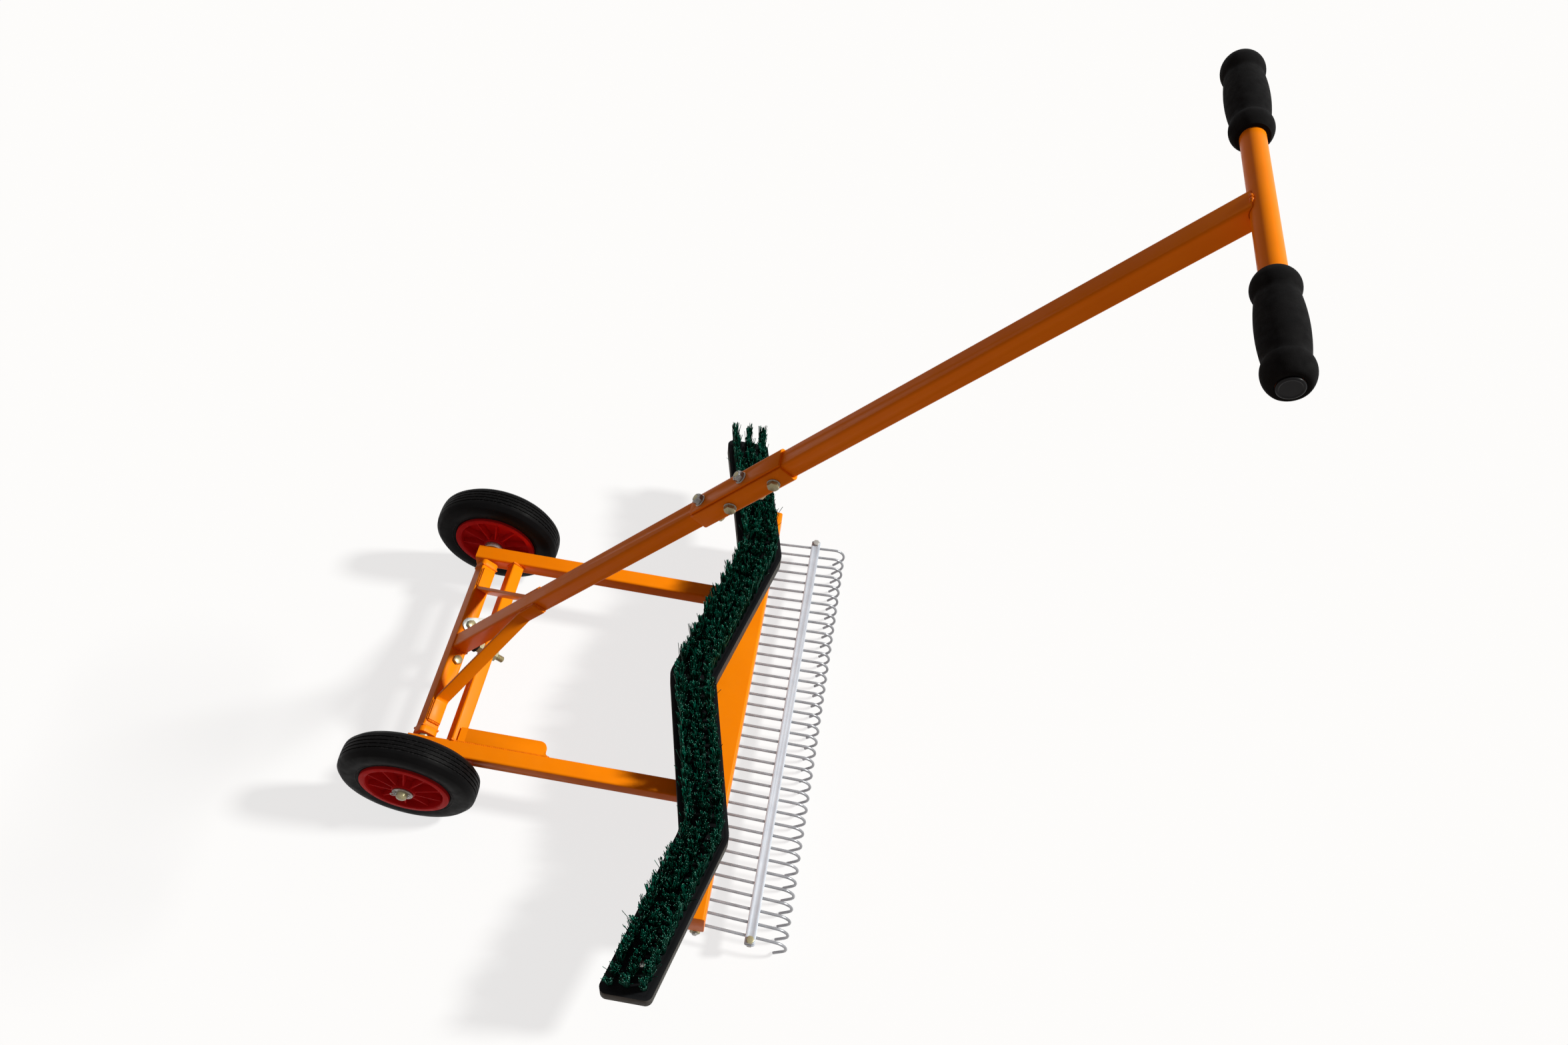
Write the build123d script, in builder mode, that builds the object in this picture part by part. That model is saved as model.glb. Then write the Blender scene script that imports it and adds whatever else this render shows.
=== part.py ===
"""Hand-pushed wheeled turf rake and brush, one STEP file for each physical piece.

Millimetres. +X points forward to the rake, +Y to the left wheel and +Z up. The origin is on
the ground under the middle of the tool, which stands on its wheels and tine tips. Distances
named with an x are counted forward from the axle. The handle has its own axes: y across, t
above its top face and s along it from the axle.
"""

import math
import os

from build123d import *

os.makedirs("parts", exist_ok=True)

# ground, axle and handle direction
axle_h = 100
axle_r = 8
axle_half = 258
axle_chamfer = 2
handle_angle = 50
running = 0.05
play = 0.3

# square tube stock
tube = 25
wall = 2
corner_r = 3

# wheels: tyre with a grooved crown on a ribbed plastic hub
wheel_y = 220
tyre_r = 100
bead_r = 65
bead_half = 20.5
bulge_r = 79
bulge_half = 22.5
shoulder_r = 93
shoulder_half = 20
tread_edge_r = 99
tread_half = 14
groove_w = 1.4
groove_deep = 1.8
groove_in = 2.8
groove_out = 8.4
ring_r = 57
ring_half = 24.5
web_half = 3
boss_r = 17
boss_half = 27.4
rib_count = 12
rib_w = 3.5
rib_half = 15

# washers and split pins on the axle ends
washer_r = 15
outer_washer = 2.2
pin_r = 1.8
pin_front = 14
pin_eye_r = 4.6
pin_eye_hole = 2.2
pin_eye_half = 1.6

# side rails and cross tubes of the carriage
rail_y = 172.5
rail_rear_x = -20
front_x = 395
beam_w = 60
beam_h = 50
beam_half = 354
beam_r = 4
cap_t = 3
cross_side = 20
cross_x = 46
foot_rear_x = 61
foot_front_x = 182
foot_w = 22
foot_t = 4
foot_r = 12

# rod, lugs, tines and clamping strips of the rake
rod_x = 442.5
rod_r = 4
rod_drop = 11.5
rod_half = 356
rod_nut_h = 6.5
lug_r = 8
lug_t = 4
lug_steps = (4.5, 12.5)
lug_end_y = 346.5
tine_each_side = 18
tine_pitch = 18.72
tine_fan = 0.206
wire_r = 1.75
wire_sides = 6
eye_r = 6.1
eye_open = 20
eye_steps = 10
bend_x = 554
bend_r = 18
bend_angle = 130
bend_steps = 8
strip_x = 520
strip_w = 15
strip_t = 3
strip_half = 354
strip_bolt_y = 349
m6_r = 3
m6_af = 10
m6_head = 4
m6_nut = 5

# brush board with a zigzag plan, and its bristle strips
board_t = 24
board_w = 71
board_mid_x = 333
board_peak_x = 397
board_end_x = 336
board_peak_y = 244
board_half = 477
board_bend_r = 30
board_end_r = 10
strip_deep = 3
strip_edge = 7
strip_end = 471
row_gap = 22
row_tufts = 18
row_inset = 3
strand_r = 1.7
strand_sides = 3
strand_half_gap = 2.3
strand_h = 49
strand_root = 1
row_lean = 0.1
pair_lean = 0.06
screw_x = 386
screw_y = 432
screw_beam_x = 415
screw_head_r = 5
screw_head_h = 3
screw_r = 2.5
screw_clear = 9

# stop bolt under the handle
stop_s = 29.6
buffer_r = 11
buffer_top = 12.8
buffer_low = 18
buffer_round = 1.5
stop_head_low = 25.2
stop_nut_low = 52
stop_end = 65
m10_r = 5
m10_af = 17

# pivot tube, latch and braces at the foot of the handle
pivot_half = 146
collar_len = 10
collar_side = 28
collar_r = 7
bolt_t = -2
latch_y = 34
pivot_bolt_y = -29
m8_r = 4
m8_af = 13
m8_head = 5.3
m8_nut = 7.5
m8_washer_r = 8
m8_washer = 1.6
face_shank = 9.5
latch_half = 12.5
latch_top = 15.5
latch_angle = 28.4
latch_cut = -26
brace_w = 20
brace_t = 5
brace_out_y = 137
brace_bend_y = 100
brace_bend_s = 190
brace_end_s = 228
brace_bend_r = 9

# handle tubes and the angle plates that join them
joint_s = 647
joint_gap = 1
plate_low_s = 572
plate_high_s = 730
plate_t = 3
plate_gap = 0.5
plate_bend_r = 5
plate_inner_r = 2
bolt_low_s = 590
bolt_mid_low_s = 629
bolt_mid_high_s = 664
bolt_high_s = 705
side_bolt_t = -2.5
bolt_proud = 1.5

# crossbar, grips and end plugs
bar_s = 1314
bar_r = 12.5
saddle_lip = 4
bar_half = 222
bar_cover = 2
grip_in = 98
flange_in_y = 111.3
crease_in_y = 121
barrel_y = 158
crease_out_y = 195.5
flange_out_y = 206.5
grip_in_r = 16.6
flange_in_r = 21.6
crease_in_r = 19.1
barrel_r = 21.6
crease_out_r = 19.4
flange_out_r = 22
grip_out_r = 16.5
plug_stem = 15
plug_head_r = 11.7
plug_head = 2.5
plug_round = 1

# derived places
half = tube / 2
slope = math.radians(handle_angle)
along = Vector(math.cos(slope), 0, math.sin(slope))
above = Vector(-math.sin(slope), 0, math.cos(slope))
axle_x = (tyre_r - bar_s * math.cos(slope) - flange_out_r) / 2
axle_point = Vector(axle_x, 0, axle_h)
handle_plane = Plane(origin=axle_point, x_dir=(0, 1, 0), z_dir=along)
beam_mid_x = front_x + beam_w / 2
beam_low = half - beam_h
rod_z = axle_h + beam_low - rod_drop
tine_z = rod_z - eye_r
board_z = axle_h + half
sides = {"left": 1, "right": -1}


def save(piece, name):
    """Label a finished piece and write its STEP file."""
    piece.part.label = name
    export_step(piece.part, f"parts/{name}.step")


def across_handle(y, t, s):
    """A plane square to the handle at a place given in the handle's axes."""
    origin = handle_plane.from_local_coords((y, t, s))
    return Plane(origin=origin, x_dir=(0, 1, 0), z_dir=along)


def over_handle(y, t, s, up):
    """A plane in line with the handle's top face, facing up or down."""
    origin = handle_plane.from_local_coords((y, t, s))
    return Plane(origin=origin, x_dir=(0, 1, 0), z_dir=above * up)


def beside_handle(y, t, s, side):
    """A plane in line with the handle's side face, facing left or right."""
    origin = handle_plane.from_local_coords((y, t, s))
    return Plane(origin=origin, x_dir=along, z_dir=(0, side, 0))


def sideways(x, y, z, side):
    """A plane across the tool, facing left or right."""
    return Plane(origin=(axle_x + x, y, z), x_dir=(1, 0, 0), z_dir=(0, side, 0))


def forward(x, y, z):
    """An upright plane facing the rake."""
    return Plane(origin=(axle_x + x, y, z), x_dir=(0, 1, 0), z_dir=(1, 0, 0))


def level(x, y, z):
    """A level plane facing up."""
    return Plane(origin=(axle_x + x, y, z), x_dir=(1, 0, 0), z_dir=(0, 0, 1))


def outward(s, side):
    """A plane with x out along the axle direction and y along the handle, set at s."""
    origin = axle_point + along * s
    facing = Vector(0, side, 0).cross(along)
    return Plane(origin=origin, x_dir=(0, side, 0), z_dir=facing)


def box_tube(plane, width, height, length, radius=corner_r):
    """A rounded square tube drawn from a plane."""
    with BuildSketch(plane) as outline:
        RectangleRounded(width, height, radius)
        Rectangle(width - 2 * wall, height - 2 * wall, mode=Mode.SUBTRACT)
    extrude(outline.sketch, amount=length)


def end_cap(plane, width, height, thickness):
    """A welded plate that closes the inside of a tube."""
    with BuildSketch(plane) as outline:
        Rectangle(width - 2 * wall, height - 2 * wall)
    extrude(outline.sketch, amount=thickness)


def bar(plane, radius, length, mode=Mode.ADD):
    """A round bar drawn or cut from a plane."""
    with BuildSketch(plane) as outline:
        Circle(radius)
    extrude(outline.sketch, amount=length, mode=mode)


def drill(plane, radius, reach):
    """A round hole cut to both sides of a plane."""
    with BuildSketch(plane) as outline:
        Circle(radius)
    extrude(outline.sketch, amount=reach, both=True, mode=Mode.SUBTRACT)


def ring(plane, outer, inner, thickness):
    """A flat ring."""
    with BuildSketch(plane) as outline:
        Circle(outer)
        Circle(inner, mode=Mode.SUBTRACT)
    extrude(outline.sketch, amount=thickness)


def hexagon(plane, flats, height, hole=0):
    """A hexagon head, or a nut if it has a hole."""
    with BuildSketch(plane) as outline:
        RegularPolygon(flats / 2, 6, major_radius=False)
        if hole:
            Circle(hole, mode=Mode.SUBTRACT)
    extrude(outline.sketch, amount=height)


def hex_bolt(plane, flats, head, radius, shank):
    """A hexagon bolt with its head in front of a plane and its shank behind."""
    hexagon(plane, flats, head)
    bar(plane, radius, -shank)


# axle with its cross holes
pin_y = wheel_y + boss_half + 2 * play + outer_washer + pin_r
with BuildPart() as axle:
    bar(sideways(0, -axle_half, axle_h, 1), axle_r, 2 * axle_half)
    chamfer(axle.edges().filter_by(GeomType.CIRCLE), axle_chamfer)
    for side in sides.values():
        drill(forward(0, side * pin_y, axle_h), pin_r, tube)
save(axle, "axle")

# inner spacers against the rails and outer washers against the wheels
spacer_in = rail_y + half
spacer_t = wheel_y - boss_half - play - spacer_in
with BuildPart() as spacers:
    for side in sides.values():
        ring(sideways(0, side * spacer_in, axle_h, side), washer_r, axle_r, spacer_t)
save(spacers, "axle_spacers")

with BuildPart() as washers:
    for side in sides.values():
        washer_at = side * (wheel_y + boss_half + play)
        ring(sideways(0, washer_at, axle_h, side), washer_r, axle_r, outer_washer)
save(washers, "axle_washers")

# split pins with a round eye behind the axle
with BuildPart() as pins:
    for side in sides.values():
        eye_x = -axle_r - pin_eye_r
        bar(forward(eye_x, side * pin_y, axle_h), pin_r, pin_front - eye_x)
        with BuildSketch(sideways(eye_x, side * pin_y, axle_h, side)):
            Circle(pin_eye_r)
        extrude(amount=pin_eye_half, both=True)
        drill(sideways(eye_x, side * pin_y, axle_h, side), pin_eye_hole, pin_eye_r)
save(pins, "split_pins")

# wheels
for label, side in sides.items():
    middle = Vector(0, side * wheel_y, axle_h)
    profile = level(*middle)
    turning = Axis(axle_point, (0, 1, 0))

    with BuildPart() as tyre:
        with BuildSketch(profile):
            with BuildLine():
                Line((bead_r, -bead_half), (bead_r, bead_half))
                ThreePointArc(
                    (bead_r, bead_half), (bulge_r, bulge_half), (shoulder_r, shoulder_half)
                )
                Line((shoulder_r, shoulder_half), (tread_edge_r, tread_half))
                ThreePointArc(
                    (tread_edge_r, tread_half), (tyre_r, 0), (tread_edge_r, -tread_half)
                )
                Line((tread_edge_r, -tread_half), (shoulder_r, -shoulder_half))
                ThreePointArc(
                    (shoulder_r, -shoulder_half), (bulge_r, -bulge_half), (bead_r, -bead_half)
                )
            make_face()
        revolve(axis=turning)
        with BuildSketch(profile):
            for groove_y in (-groove_out, -groove_in, groove_in, groove_out):
                with Locations((tyre_r, groove_y)):
                    Rectangle(2 * groove_deep, groove_w)
        revolve(axis=turning, mode=Mode.SUBTRACT)
    save(tyre, f"tyre_{label}")

    with BuildPart() as hub:
        with BuildSketch(profile):
            with Locations(((ring_r + bead_r) / 2, 0)):
                Rectangle(bead_r - ring_r, 2 * ring_half)
            with Locations((boss_r / 2, 0)):
                Rectangle(boss_r, 2 * boss_half)
            with Locations((ring_r / 2, 0)):
                Rectangle(ring_r, 2 * web_half)
        revolve(axis=turning)
        with BuildSketch(sideways(*middle, 1)):
            with PolarLocations((boss_r + ring_r) / 2, rib_count):
                Rectangle(ring_r - boss_r + rib_w, rib_w)
        extrude(amount=rib_half, both=True)
        drill(sideways(*middle, 1), axle_r + running, 2 * boss_half)
    save(hub, f"hub_{label}")

# side rails, closed behind and open where the beam covers them
for label, side in sides.items():
    with BuildPart() as rail:
        rear = forward(rail_rear_x, side * rail_y, axle_h)
        box_tube(rear, tube, tube, front_x - rail_rear_x)
        end_cap(rear, tube, tube, cap_t)
        drill(sideways(0, side * rail_y, axle_h, 1), axle_r, tube)
    save(rail, f"rail_{label}")

# cross tube that carries the stop bolt, turned to the handle's slope
cross_len = 2 * (rail_y - half)
with BuildPart() as cross_tube:
    cross_end = Plane(
        origin=(axle_x + cross_x, -cross_len / 2, axle_h), x_dir=along, z_dir=(0, 1, 0)
    )
    box_tube(cross_end, cross_side, cross_side, cross_len)
    drill(over_handle(0, 0, stop_s, 1), m10_r, stop_end)
save(cross_tube, "cross_tube")

# foot plate on the inner side of the right rail
with BuildPart() as foot_plate:
    foot_y = -cross_len / 2 + foot_w / 2
    foot_mid_x = (foot_rear_x + foot_front_x) / 2
    with BuildSketch(level(foot_mid_x, foot_y, board_z)) as foot_plan:
        Rectangle(foot_front_x - foot_rear_x, foot_w)
        corner = foot_plan.vertices().sort_by(Axis.X)[-2:].sort_by(Axis.Y)[-1]
        fillet(corner, foot_r)
    extrude(amount=-foot_t)
save(foot_plate, "foot_plate")

# front beam with welded ends
with BuildPart() as beam:
    beam_z = axle_h + half - beam_h / 2
    for side in sides.values():
        beam_end = sideways(beam_mid_x, side * beam_half, beam_z, side)
        end_cap(beam_end, beam_w, beam_h, -cap_t)
    box_tube(beam_end, beam_w, beam_h, -2 * beam_half, beam_r)
save(beam, "front_beam")

# lugs under the beam, the rod through them and its nuts
lug_places = [step * tine_pitch for step in lug_steps] + [lug_end_y - lug_t / 2]
with BuildPart() as lugs:
    for side in sides.values():
        for lug_y in lug_places:
            with BuildSketch(sideways(rod_x, side * lug_y, rod_z, -1)):
                Circle(lug_r)
                with Locations((0, rod_drop / 2)):
                    Rectangle(2 * lug_r, rod_drop)
                Circle(rod_r, mode=Mode.SUBTRACT)
            extrude(amount=lug_t / 2, both=True)
save(lugs, "tine_lugs")

with BuildPart() as rod:
    bar(sideways(rod_x, -rod_half, rod_z, 1), rod_r, 2 * rod_half)
save(rod, "tine_rod")

with BuildPart() as rod_nuts:
    for side in sides.values():
        hexagon(sideways(rod_x, side * lug_end_y, rod_z, side), m8_af, rod_nut_h, rod_r)
save(rod_nuts, "rod_nuts")

# spring tines: an eye round the rod, a straight shank and a hooked tip on the ground
bend_at = bend_x - rod_x
bend_rad = math.radians(bend_angle)
tine_path = []
for step in range(eye_steps + 1):
    turn = math.radians(eye_open + (270 - eye_open) * step / eye_steps)
    tine_path.append((eye_r * math.cos(turn), eye_r * math.sin(turn)))
for step in range(bend_steps + 1):
    turn = math.radians(90 - bend_angle * step / bend_steps)
    hook_x = bend_at + bend_r * math.cos(turn)
    hook_z = -eye_r - bend_r + bend_r * math.sin(turn)
    tine_path.append((hook_x, hook_z))
tip_z = wire_r * abs(math.cos(bend_rad)) - rod_z
tip_x = hook_x - (hook_z - tip_z) * abs(math.cos(bend_rad) / math.sin(bend_rad))
tine_path.append((tip_x, tip_z))
with BuildPart() as tine:
    with BuildLine(Plane.XZ) as path:
        Polyline(*tine_path)
    spine = path.wires()[0]
    start = Plane(origin=spine @ 0, x_dir=spine @ 0, z_dir=spine % 0)
    with BuildSketch(start):
        RegularPolygon(wire_r, wire_sides)
    sweep(path=spine, transition=Transition.RIGHT)

tine_places = []
for step in range(-tine_each_side, tine_each_side + 1):
    foot = (axle_x + rod_x, step * tine_pitch, rod_z)
    tine_places.append(Location(foot, (0, 0, tine_fan * step)))
with BuildPart() as tines:
    with Locations(*tine_places):
        add(tine.part)
save(tines, "tines")

# two strips that clamp the tines, with a bolt at each end
strip_faces = {"strip_upper": tine_z + wire_r, "strip_lower": tine_z - wire_r - strip_t}
for name, strip_z in strip_faces.items():
    with BuildPart() as strip:
        with BuildSketch(level(strip_x, 0, strip_z)):
            RectangleRounded(strip_w, 2 * strip_half, strip_t)
            with Locations((0, strip_bolt_y), (0, -strip_bolt_y)):
                Circle(m6_r, mode=Mode.SUBTRACT)
        extrude(amount=strip_t)
    save(strip, name)

strip_top = tine_z + wire_r + strip_t
strip_grip = 2 * (wire_r + strip_t)
with BuildPart() as strip_bolts:
    for side in sides.values():
        place = level(strip_x, side * strip_bolt_y, strip_top)
        hex_bolt(place, m6_af, m6_head, m6_r, strip_grip + m6_nut + bolt_proud)
save(strip_bolts, "strip_bolts")

with BuildPart() as strip_nuts:
    for side in sides.values():
        place = level(strip_x, side * strip_bolt_y, strip_top - strip_grip - m6_nut)
        hexagon(place, m6_af, m6_nut, m6_r)
save(strip_nuts, "strip_nuts")


def board_edge(inset):
    """Back and front edge points of the board from right to left, moved in by an inset."""
    end_y = board_half if not inset else strip_end
    ends = ((board_end_x, -end_y), (board_peak_x, -board_peak_y))
    back = [*ends, (board_mid_x, 0), *((x, -y) for x, y in reversed(ends))]
    rear = [(x + inset, y) for x, y in back]
    front = [(x + board_w - inset, y) for x, y in back]
    return rear, front


screws = [(screw_x, side * screw_y) for side in sides.values()]
screws += [(screw_beam_x, side * rail_y) for side in sides.values()]
board_top = board_z + board_t

# brush board with a shallow zigzag pocket for the bristle strips
with BuildPart() as board:
    rear_edge, front_edge = board_edge(0)
    with BuildSketch(level(0, 0, board_z)) as plan:
        with BuildLine():
            Polyline(*rear_edge, *reversed(front_edge), close=True)
        make_face()
        corners = plan.vertices()
        fillet([v for v in corners if abs(v.Y) > strip_end], board_end_r)
        fillet([v for v in plan.vertices() if abs(abs(v.Y) - board_peak_y) < play], board_bend_r)
        fillet([v for v in plan.vertices() if abs(v.Y) < play], board_bend_r)
    extrude(amount=board_t)
    rear_edge, front_edge = board_edge(strip_edge)
    with BuildSketch(level(0, 0, board_top)):
        with BuildLine():
            Polyline(*rear_edge, *reversed(front_edge), close=True)
        make_face()
    extrude(amount=-strip_deep, mode=Mode.SUBTRACT)
    for place in screws:
        drill(level(*place, board_z), screw_r, 2 * board_t)
save(board, "brush_board")

# bristle strips: one straight run of the zigzag each, with leaning strands in three rows
strand_len = strand_h + strand_root
for run in range(len(rear_edge) - 1):
    low, high = rear_edge[run], rear_edge[run + 1]
    run_y = high[1] - low[1]
    run_slope = (high[0] - low[0]) / run_y
    with BuildPart() as bristles:
        with BuildSketch(level(0, 0, board_top)):
            with BuildLine():
                Polyline(low, high, front_edge[run + 1], front_edge[run], close=True)
            make_face()
        extrude(amount=-strip_deep)
        strands = []
        for row in (-1, 0, 1):
            for pair in (-1, 1):
                with BuildSketch(
                    level(0, 0, board_top - strand_root), mode=Mode.PRIVATE
                ) as roots:
                    for tuft in range(row_tufts):
                        tuft_y = (run_y - 2 * row_inset) * (tuft + 1 / 2) / row_tufts
                        tuft_y += low[1] + row_inset
                        tuft_x = low[0] + (tuft_y - low[1]) * run_slope
                        tuft_x += board_w / 2 - strip_edge + row * row_gap
                        near = [math.dist((tuft_x, tuft_y), spot) for spot in screws]
                        if min(near) > screw_clear:
                            with Locations((tuft_x, tuft_y + pair * strand_half_gap)):
                                RegularPolygon(strand_r, strand_sides)
                lean = Vector(row * row_lean, pair * pair_lean, 1)
                strands.append(
                    extrude(roots.sketch, strand_len, lean, mode=Mode.PRIVATE)
                )
        add(strands)
        for place in screws:
            if low[1] < place[1] < high[1]:
                drill(level(*place, board_top), screw_r, board_t)
    save(bristles, f"bristles_{run + 1}")

with BuildPart() as brush_screws:
    for place in screws:
        bar(level(*place, board_top), screw_head_r, screw_head_h)
    head_tops = brush_screws.edges().group_by(Axis.Z)[-1]
    chamfer(head_tops, screw_head_h / 2)
    for place in screws:
        bar(level(*place, board_top), screw_r, -board_t)
save(brush_screws, "brush_screws")

# stop bolt through the cross tube, its lock nut and its rubber buffer
with BuildPart() as stop_bolt:
    head_low = over_handle(0, -stop_head_low, stop_s, 1)
    hex_bolt(head_low, m10_af, stop_head_low - buffer_low, m10_r, stop_end - stop_head_low)
save(stop_bolt, "stop_bolt")

with BuildPart() as stop_nut:
    cross_low = -math.sin(slope) * cross_x - cross_side / 2
    hexagon(over_handle(0, cross_low, stop_s, -1), m10_af, stop_nut_low + cross_low, m10_r)
save(stop_nut, "stop_nut")

with BuildPart() as stop_buffer:
    bar(over_handle(0, -buffer_low, stop_s, 1), buffer_r, buffer_low - buffer_top)
    chamfer(stop_buffer.edges().filter_by(GeomType.CIRCLE), buffer_round)
save(stop_buffer, "stop_buffer")

# pivot tube on the axle with a bored collar welded in each end
pivot_start = beside_handle(-pivot_half, 0, 0, 1)
with BuildPart() as pivot_tube:
    box_tube(pivot_start, tube, tube, 2 * pivot_half)
    for bolt_y in (latch_y, pivot_bolt_y):
        bar(across_handle(bolt_y, bolt_t, face_shank), m8_r, tube, Mode.SUBTRACT)
save(pivot_tube, "pivot_tube")

with BuildPart() as collars:
    for side in sides.values():
        with BuildSketch(beside_handle(side * pivot_half, 0, 0, side)):
            RectangleRounded(collar_side, collar_side, collar_r)
            Circle(axle_r + running, mode=Mode.SUBTRACT)
        extrude(amount=collar_len)
save(collars, "pivot_collars")

with BuildPart() as pivot_bolt:
    hex_bolt(across_handle(pivot_bolt_y, bolt_t, half), m8_af, m8_head, m8_r, half - face_shank)
save(pivot_bolt, "pivot_bolt")

with BuildPart() as latch_bolt:
    head_s = latch_top + play
    hex_bolt(across_handle(latch_y, bolt_t, head_s), m8_af, m8_head, m8_r, head_s - face_shank)
save(latch_bolt, "latch_bolt")

# latch plate, drawn released: it swings about its bolt to catch the cross tube
swing = math.radians(latch_angle)
latch_dir = Vector(math.sin(swing), -math.cos(swing))
latch_side = Vector(math.cos(swing), math.sin(swing)) * latch_half
long_len = (latch_side.Y + bolt_t - latch_cut) / math.cos(swing)
short_len = (bolt_t - latch_cut - latch_side.Y) / math.cos(swing)
latch_low = half + play
with BuildPart() as latch_plate:
    with BuildSketch(across_handle(latch_y, bolt_t, latch_low)):
        with BuildLine():
            Polyline(
                latch_side,
                latch_side + latch_dir * long_len,
                -latch_side + latch_dir * short_len,
                -latch_side,
                close=True,
            )
        make_face()
        Circle(latch_half)
        Circle(m8_r + running, mode=Mode.SUBTRACT)
    extrude(amount=latch_top - latch_low)
save(latch_plate, "latch_plate")

# bent flat braces from the pivot tube's face to the handle's sides
for label, side in sides.items():
    with BuildPart() as brace:
        plane = outward(0, side)
        face_s = half + brace_t / 2
        with BuildLine(plane) as brace_path:
            FilletPolyline(
                (brace_out_y, face_s),
                (brace_bend_y, face_s),
                (face_s, brace_bend_s),
                (face_s, brace_end_s),
                radius=brace_bend_r,
            )
        start = Plane(
            origin=handle_plane.from_local_coords((side * brace_out_y, 0, face_s)),
            x_dir=above,
            z_dir=(0, -side, 0),
        )
        with BuildSketch(start):
            Rectangle(brace_w, brace_t)
        sweep(path=brace_path.wires()[0])
    save(brace, f"brace_{label}")

# lower and upper handle tubes, with the upper end shaped to the crossbar
with BuildPart() as handle_lower:
    box_tube(across_handle(0, 0, half), tube, tube, joint_s - half)
    drill(over_handle(0, 0, bolt_low_s, 1), m8_r, tube)
    drill(beside_handle(0, side_bolt_t, bolt_mid_low_s, 1), m8_r, tube)
save(handle_lower, "handle_lower")

with BuildPart() as handle_upper:
    upper_s = joint_s + joint_gap
    box_tube(across_handle(0, 0, upper_s), tube, tube, bar_s - saddle_lip - upper_s)
    drill(over_handle(0, 0, bolt_mid_high_s, 1), m8_r, tube)
    drill(beside_handle(0, side_bolt_t, bolt_high_s, 1), m8_r, tube)
    drill(beside_handle(0, 0, bar_s, 1), bar_r, tube)
save(handle_upper, "handle_upper")

# angle plates: one over the top and left faces, one over the right and bottom faces
plate_out = half + plate_t
plate_end = half - plate_gap
top_angle = (
    (-half, half),
    (-half, plate_out),
    (plate_out, plate_out),
    (plate_out, -half),
    (half, -half),
    (half, half),
)
side_angle = (
    (-half, plate_end),
    (-plate_out, plate_end),
    (-plate_out, -plate_out),
    (plate_end, -plate_out),
    (plate_end, -half),
    (-half, -half),
)
for name, outline, bend in (("joint_angle_top", top_angle, 1), ("joint_angle_side", side_angle, -1)):
    with BuildPart() as angle_plate:
        with BuildSketch(across_handle(0, 0, plate_low_s)) as section:
            with BuildLine():
                Polyline(*outline, close=True)
            make_face()
            for corner, radius in ((plate_out, plate_bend_r), (half, plate_inner_r)):
                bent = section.vertices().sort_by_distance((bend * corner, bend * corner))[0]
                fillet(bent, radius)
        extrude(amount=plate_high_s - plate_low_s)
        for bolt_s in (bolt_low_s, bolt_mid_high_s):
            drill(over_handle(0, 0, bolt_s, 1), m8_r, 2 * tube)
        for bolt_s in (bolt_mid_low_s, bolt_high_s):
            drill(beside_handle(0, side_bolt_t, bolt_s, 1), m8_r, 2 * tube)
    save(angle_plate, name)

# joint bolts with a washer at each end and a nut on the far face
under_head = plate_out + m8_washer
bolt_len = 2 * under_head + m8_nut + bolt_proud
heads = [over_handle(0, -under_head, s, -1) for s in (bolt_low_s, bolt_mid_high_s)]
heads += [beside_handle(-under_head, side_bolt_t, s, -1) for s in (bolt_mid_low_s, bolt_high_s)]
with BuildPart() as joint_bolts:
    for head in heads:
        hex_bolt(head, m8_af, m8_head, m8_r, bolt_len)
save(joint_bolts, "joint_bolts")

with BuildPart() as joint_washers:
    for head in heads:
        ring(head, m8_washer_r, m8_r, -m8_washer)
        ring(head.offset(-2 * under_head), m8_washer_r, m8_r, m8_washer)
save(joint_washers, "joint_washers")

with BuildPart() as joint_nuts:
    for head in heads:
        hexagon(head.offset(-2 * under_head), m8_af, -m8_nut, m8_r)
save(joint_nuts, "joint_nuts")

# crossbar tube
bar_end = bar_half - bar_cover
with BuildPart() as crossbar:
    ring(beside_handle(-bar_end, 0, bar_s, 1), bar_r, bar_r - wall, 2 * bar_end)
save(crossbar, "crossbar")

# foam grips of three rounded swells that cover the bar's ends, and the plugs in them
bar_axis = Axis(axle_point + along * bar_s, (0, 1, 0))
for label, side in sides.items():
    with BuildPart() as grip:
        with BuildSketch(outward(bar_s, side)):
            with BuildLine():
                ThreePointArc(
                    (grip_in, grip_in_r), (flange_in_y, flange_in_r), (crease_in_y, crease_in_r)
                )
                ThreePointArc(
                    (crease_in_y, crease_in_r), (barrel_y, barrel_r), (crease_out_y, crease_out_r)
                )
                ThreePointArc(
                    (crease_out_y, crease_out_r), (flange_out_y, flange_out_r), (bar_half, grip_out_r)
                )
                Polyline(
                    (bar_half, grip_out_r),
                    (bar_half, plug_head_r),
                    (bar_end, plug_head_r),
                    (bar_end, bar_r),
                    (grip_in, bar_r),
                    (grip_in, grip_in_r),
                )
            make_face()
        revolve(axis=bar_axis)
    save(grip, f"grip_{label}")

    with BuildPart() as plug:
        bar(beside_handle(side * bar_half, 0, bar_s, side), plug_head_r, plug_head)
        chamfer(plug.edges().group_by(Axis.Y)[-1 if side > 0 else 0], plug_round)
        bar(beside_handle(side * bar_half, 0, bar_s, side), bar_r - wall, -plug_stem)
    save(plug, f"end_plug_{label}")
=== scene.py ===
"""Looks of a hand-pushed wheeled turf rake and brush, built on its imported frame.

Sizes are millimetres counted from the middle of the axle: x forward to the rake, y to the left
wheel, z up. The handle has its own axes: y across, t above its top face, s along it.
"""

import logging
import math
import random
from collections.abc import Iterable
from dataclasses import dataclass
from enum import Enum

import bmesh
import bpy
from mathutils import Matrix, Vector


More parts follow.
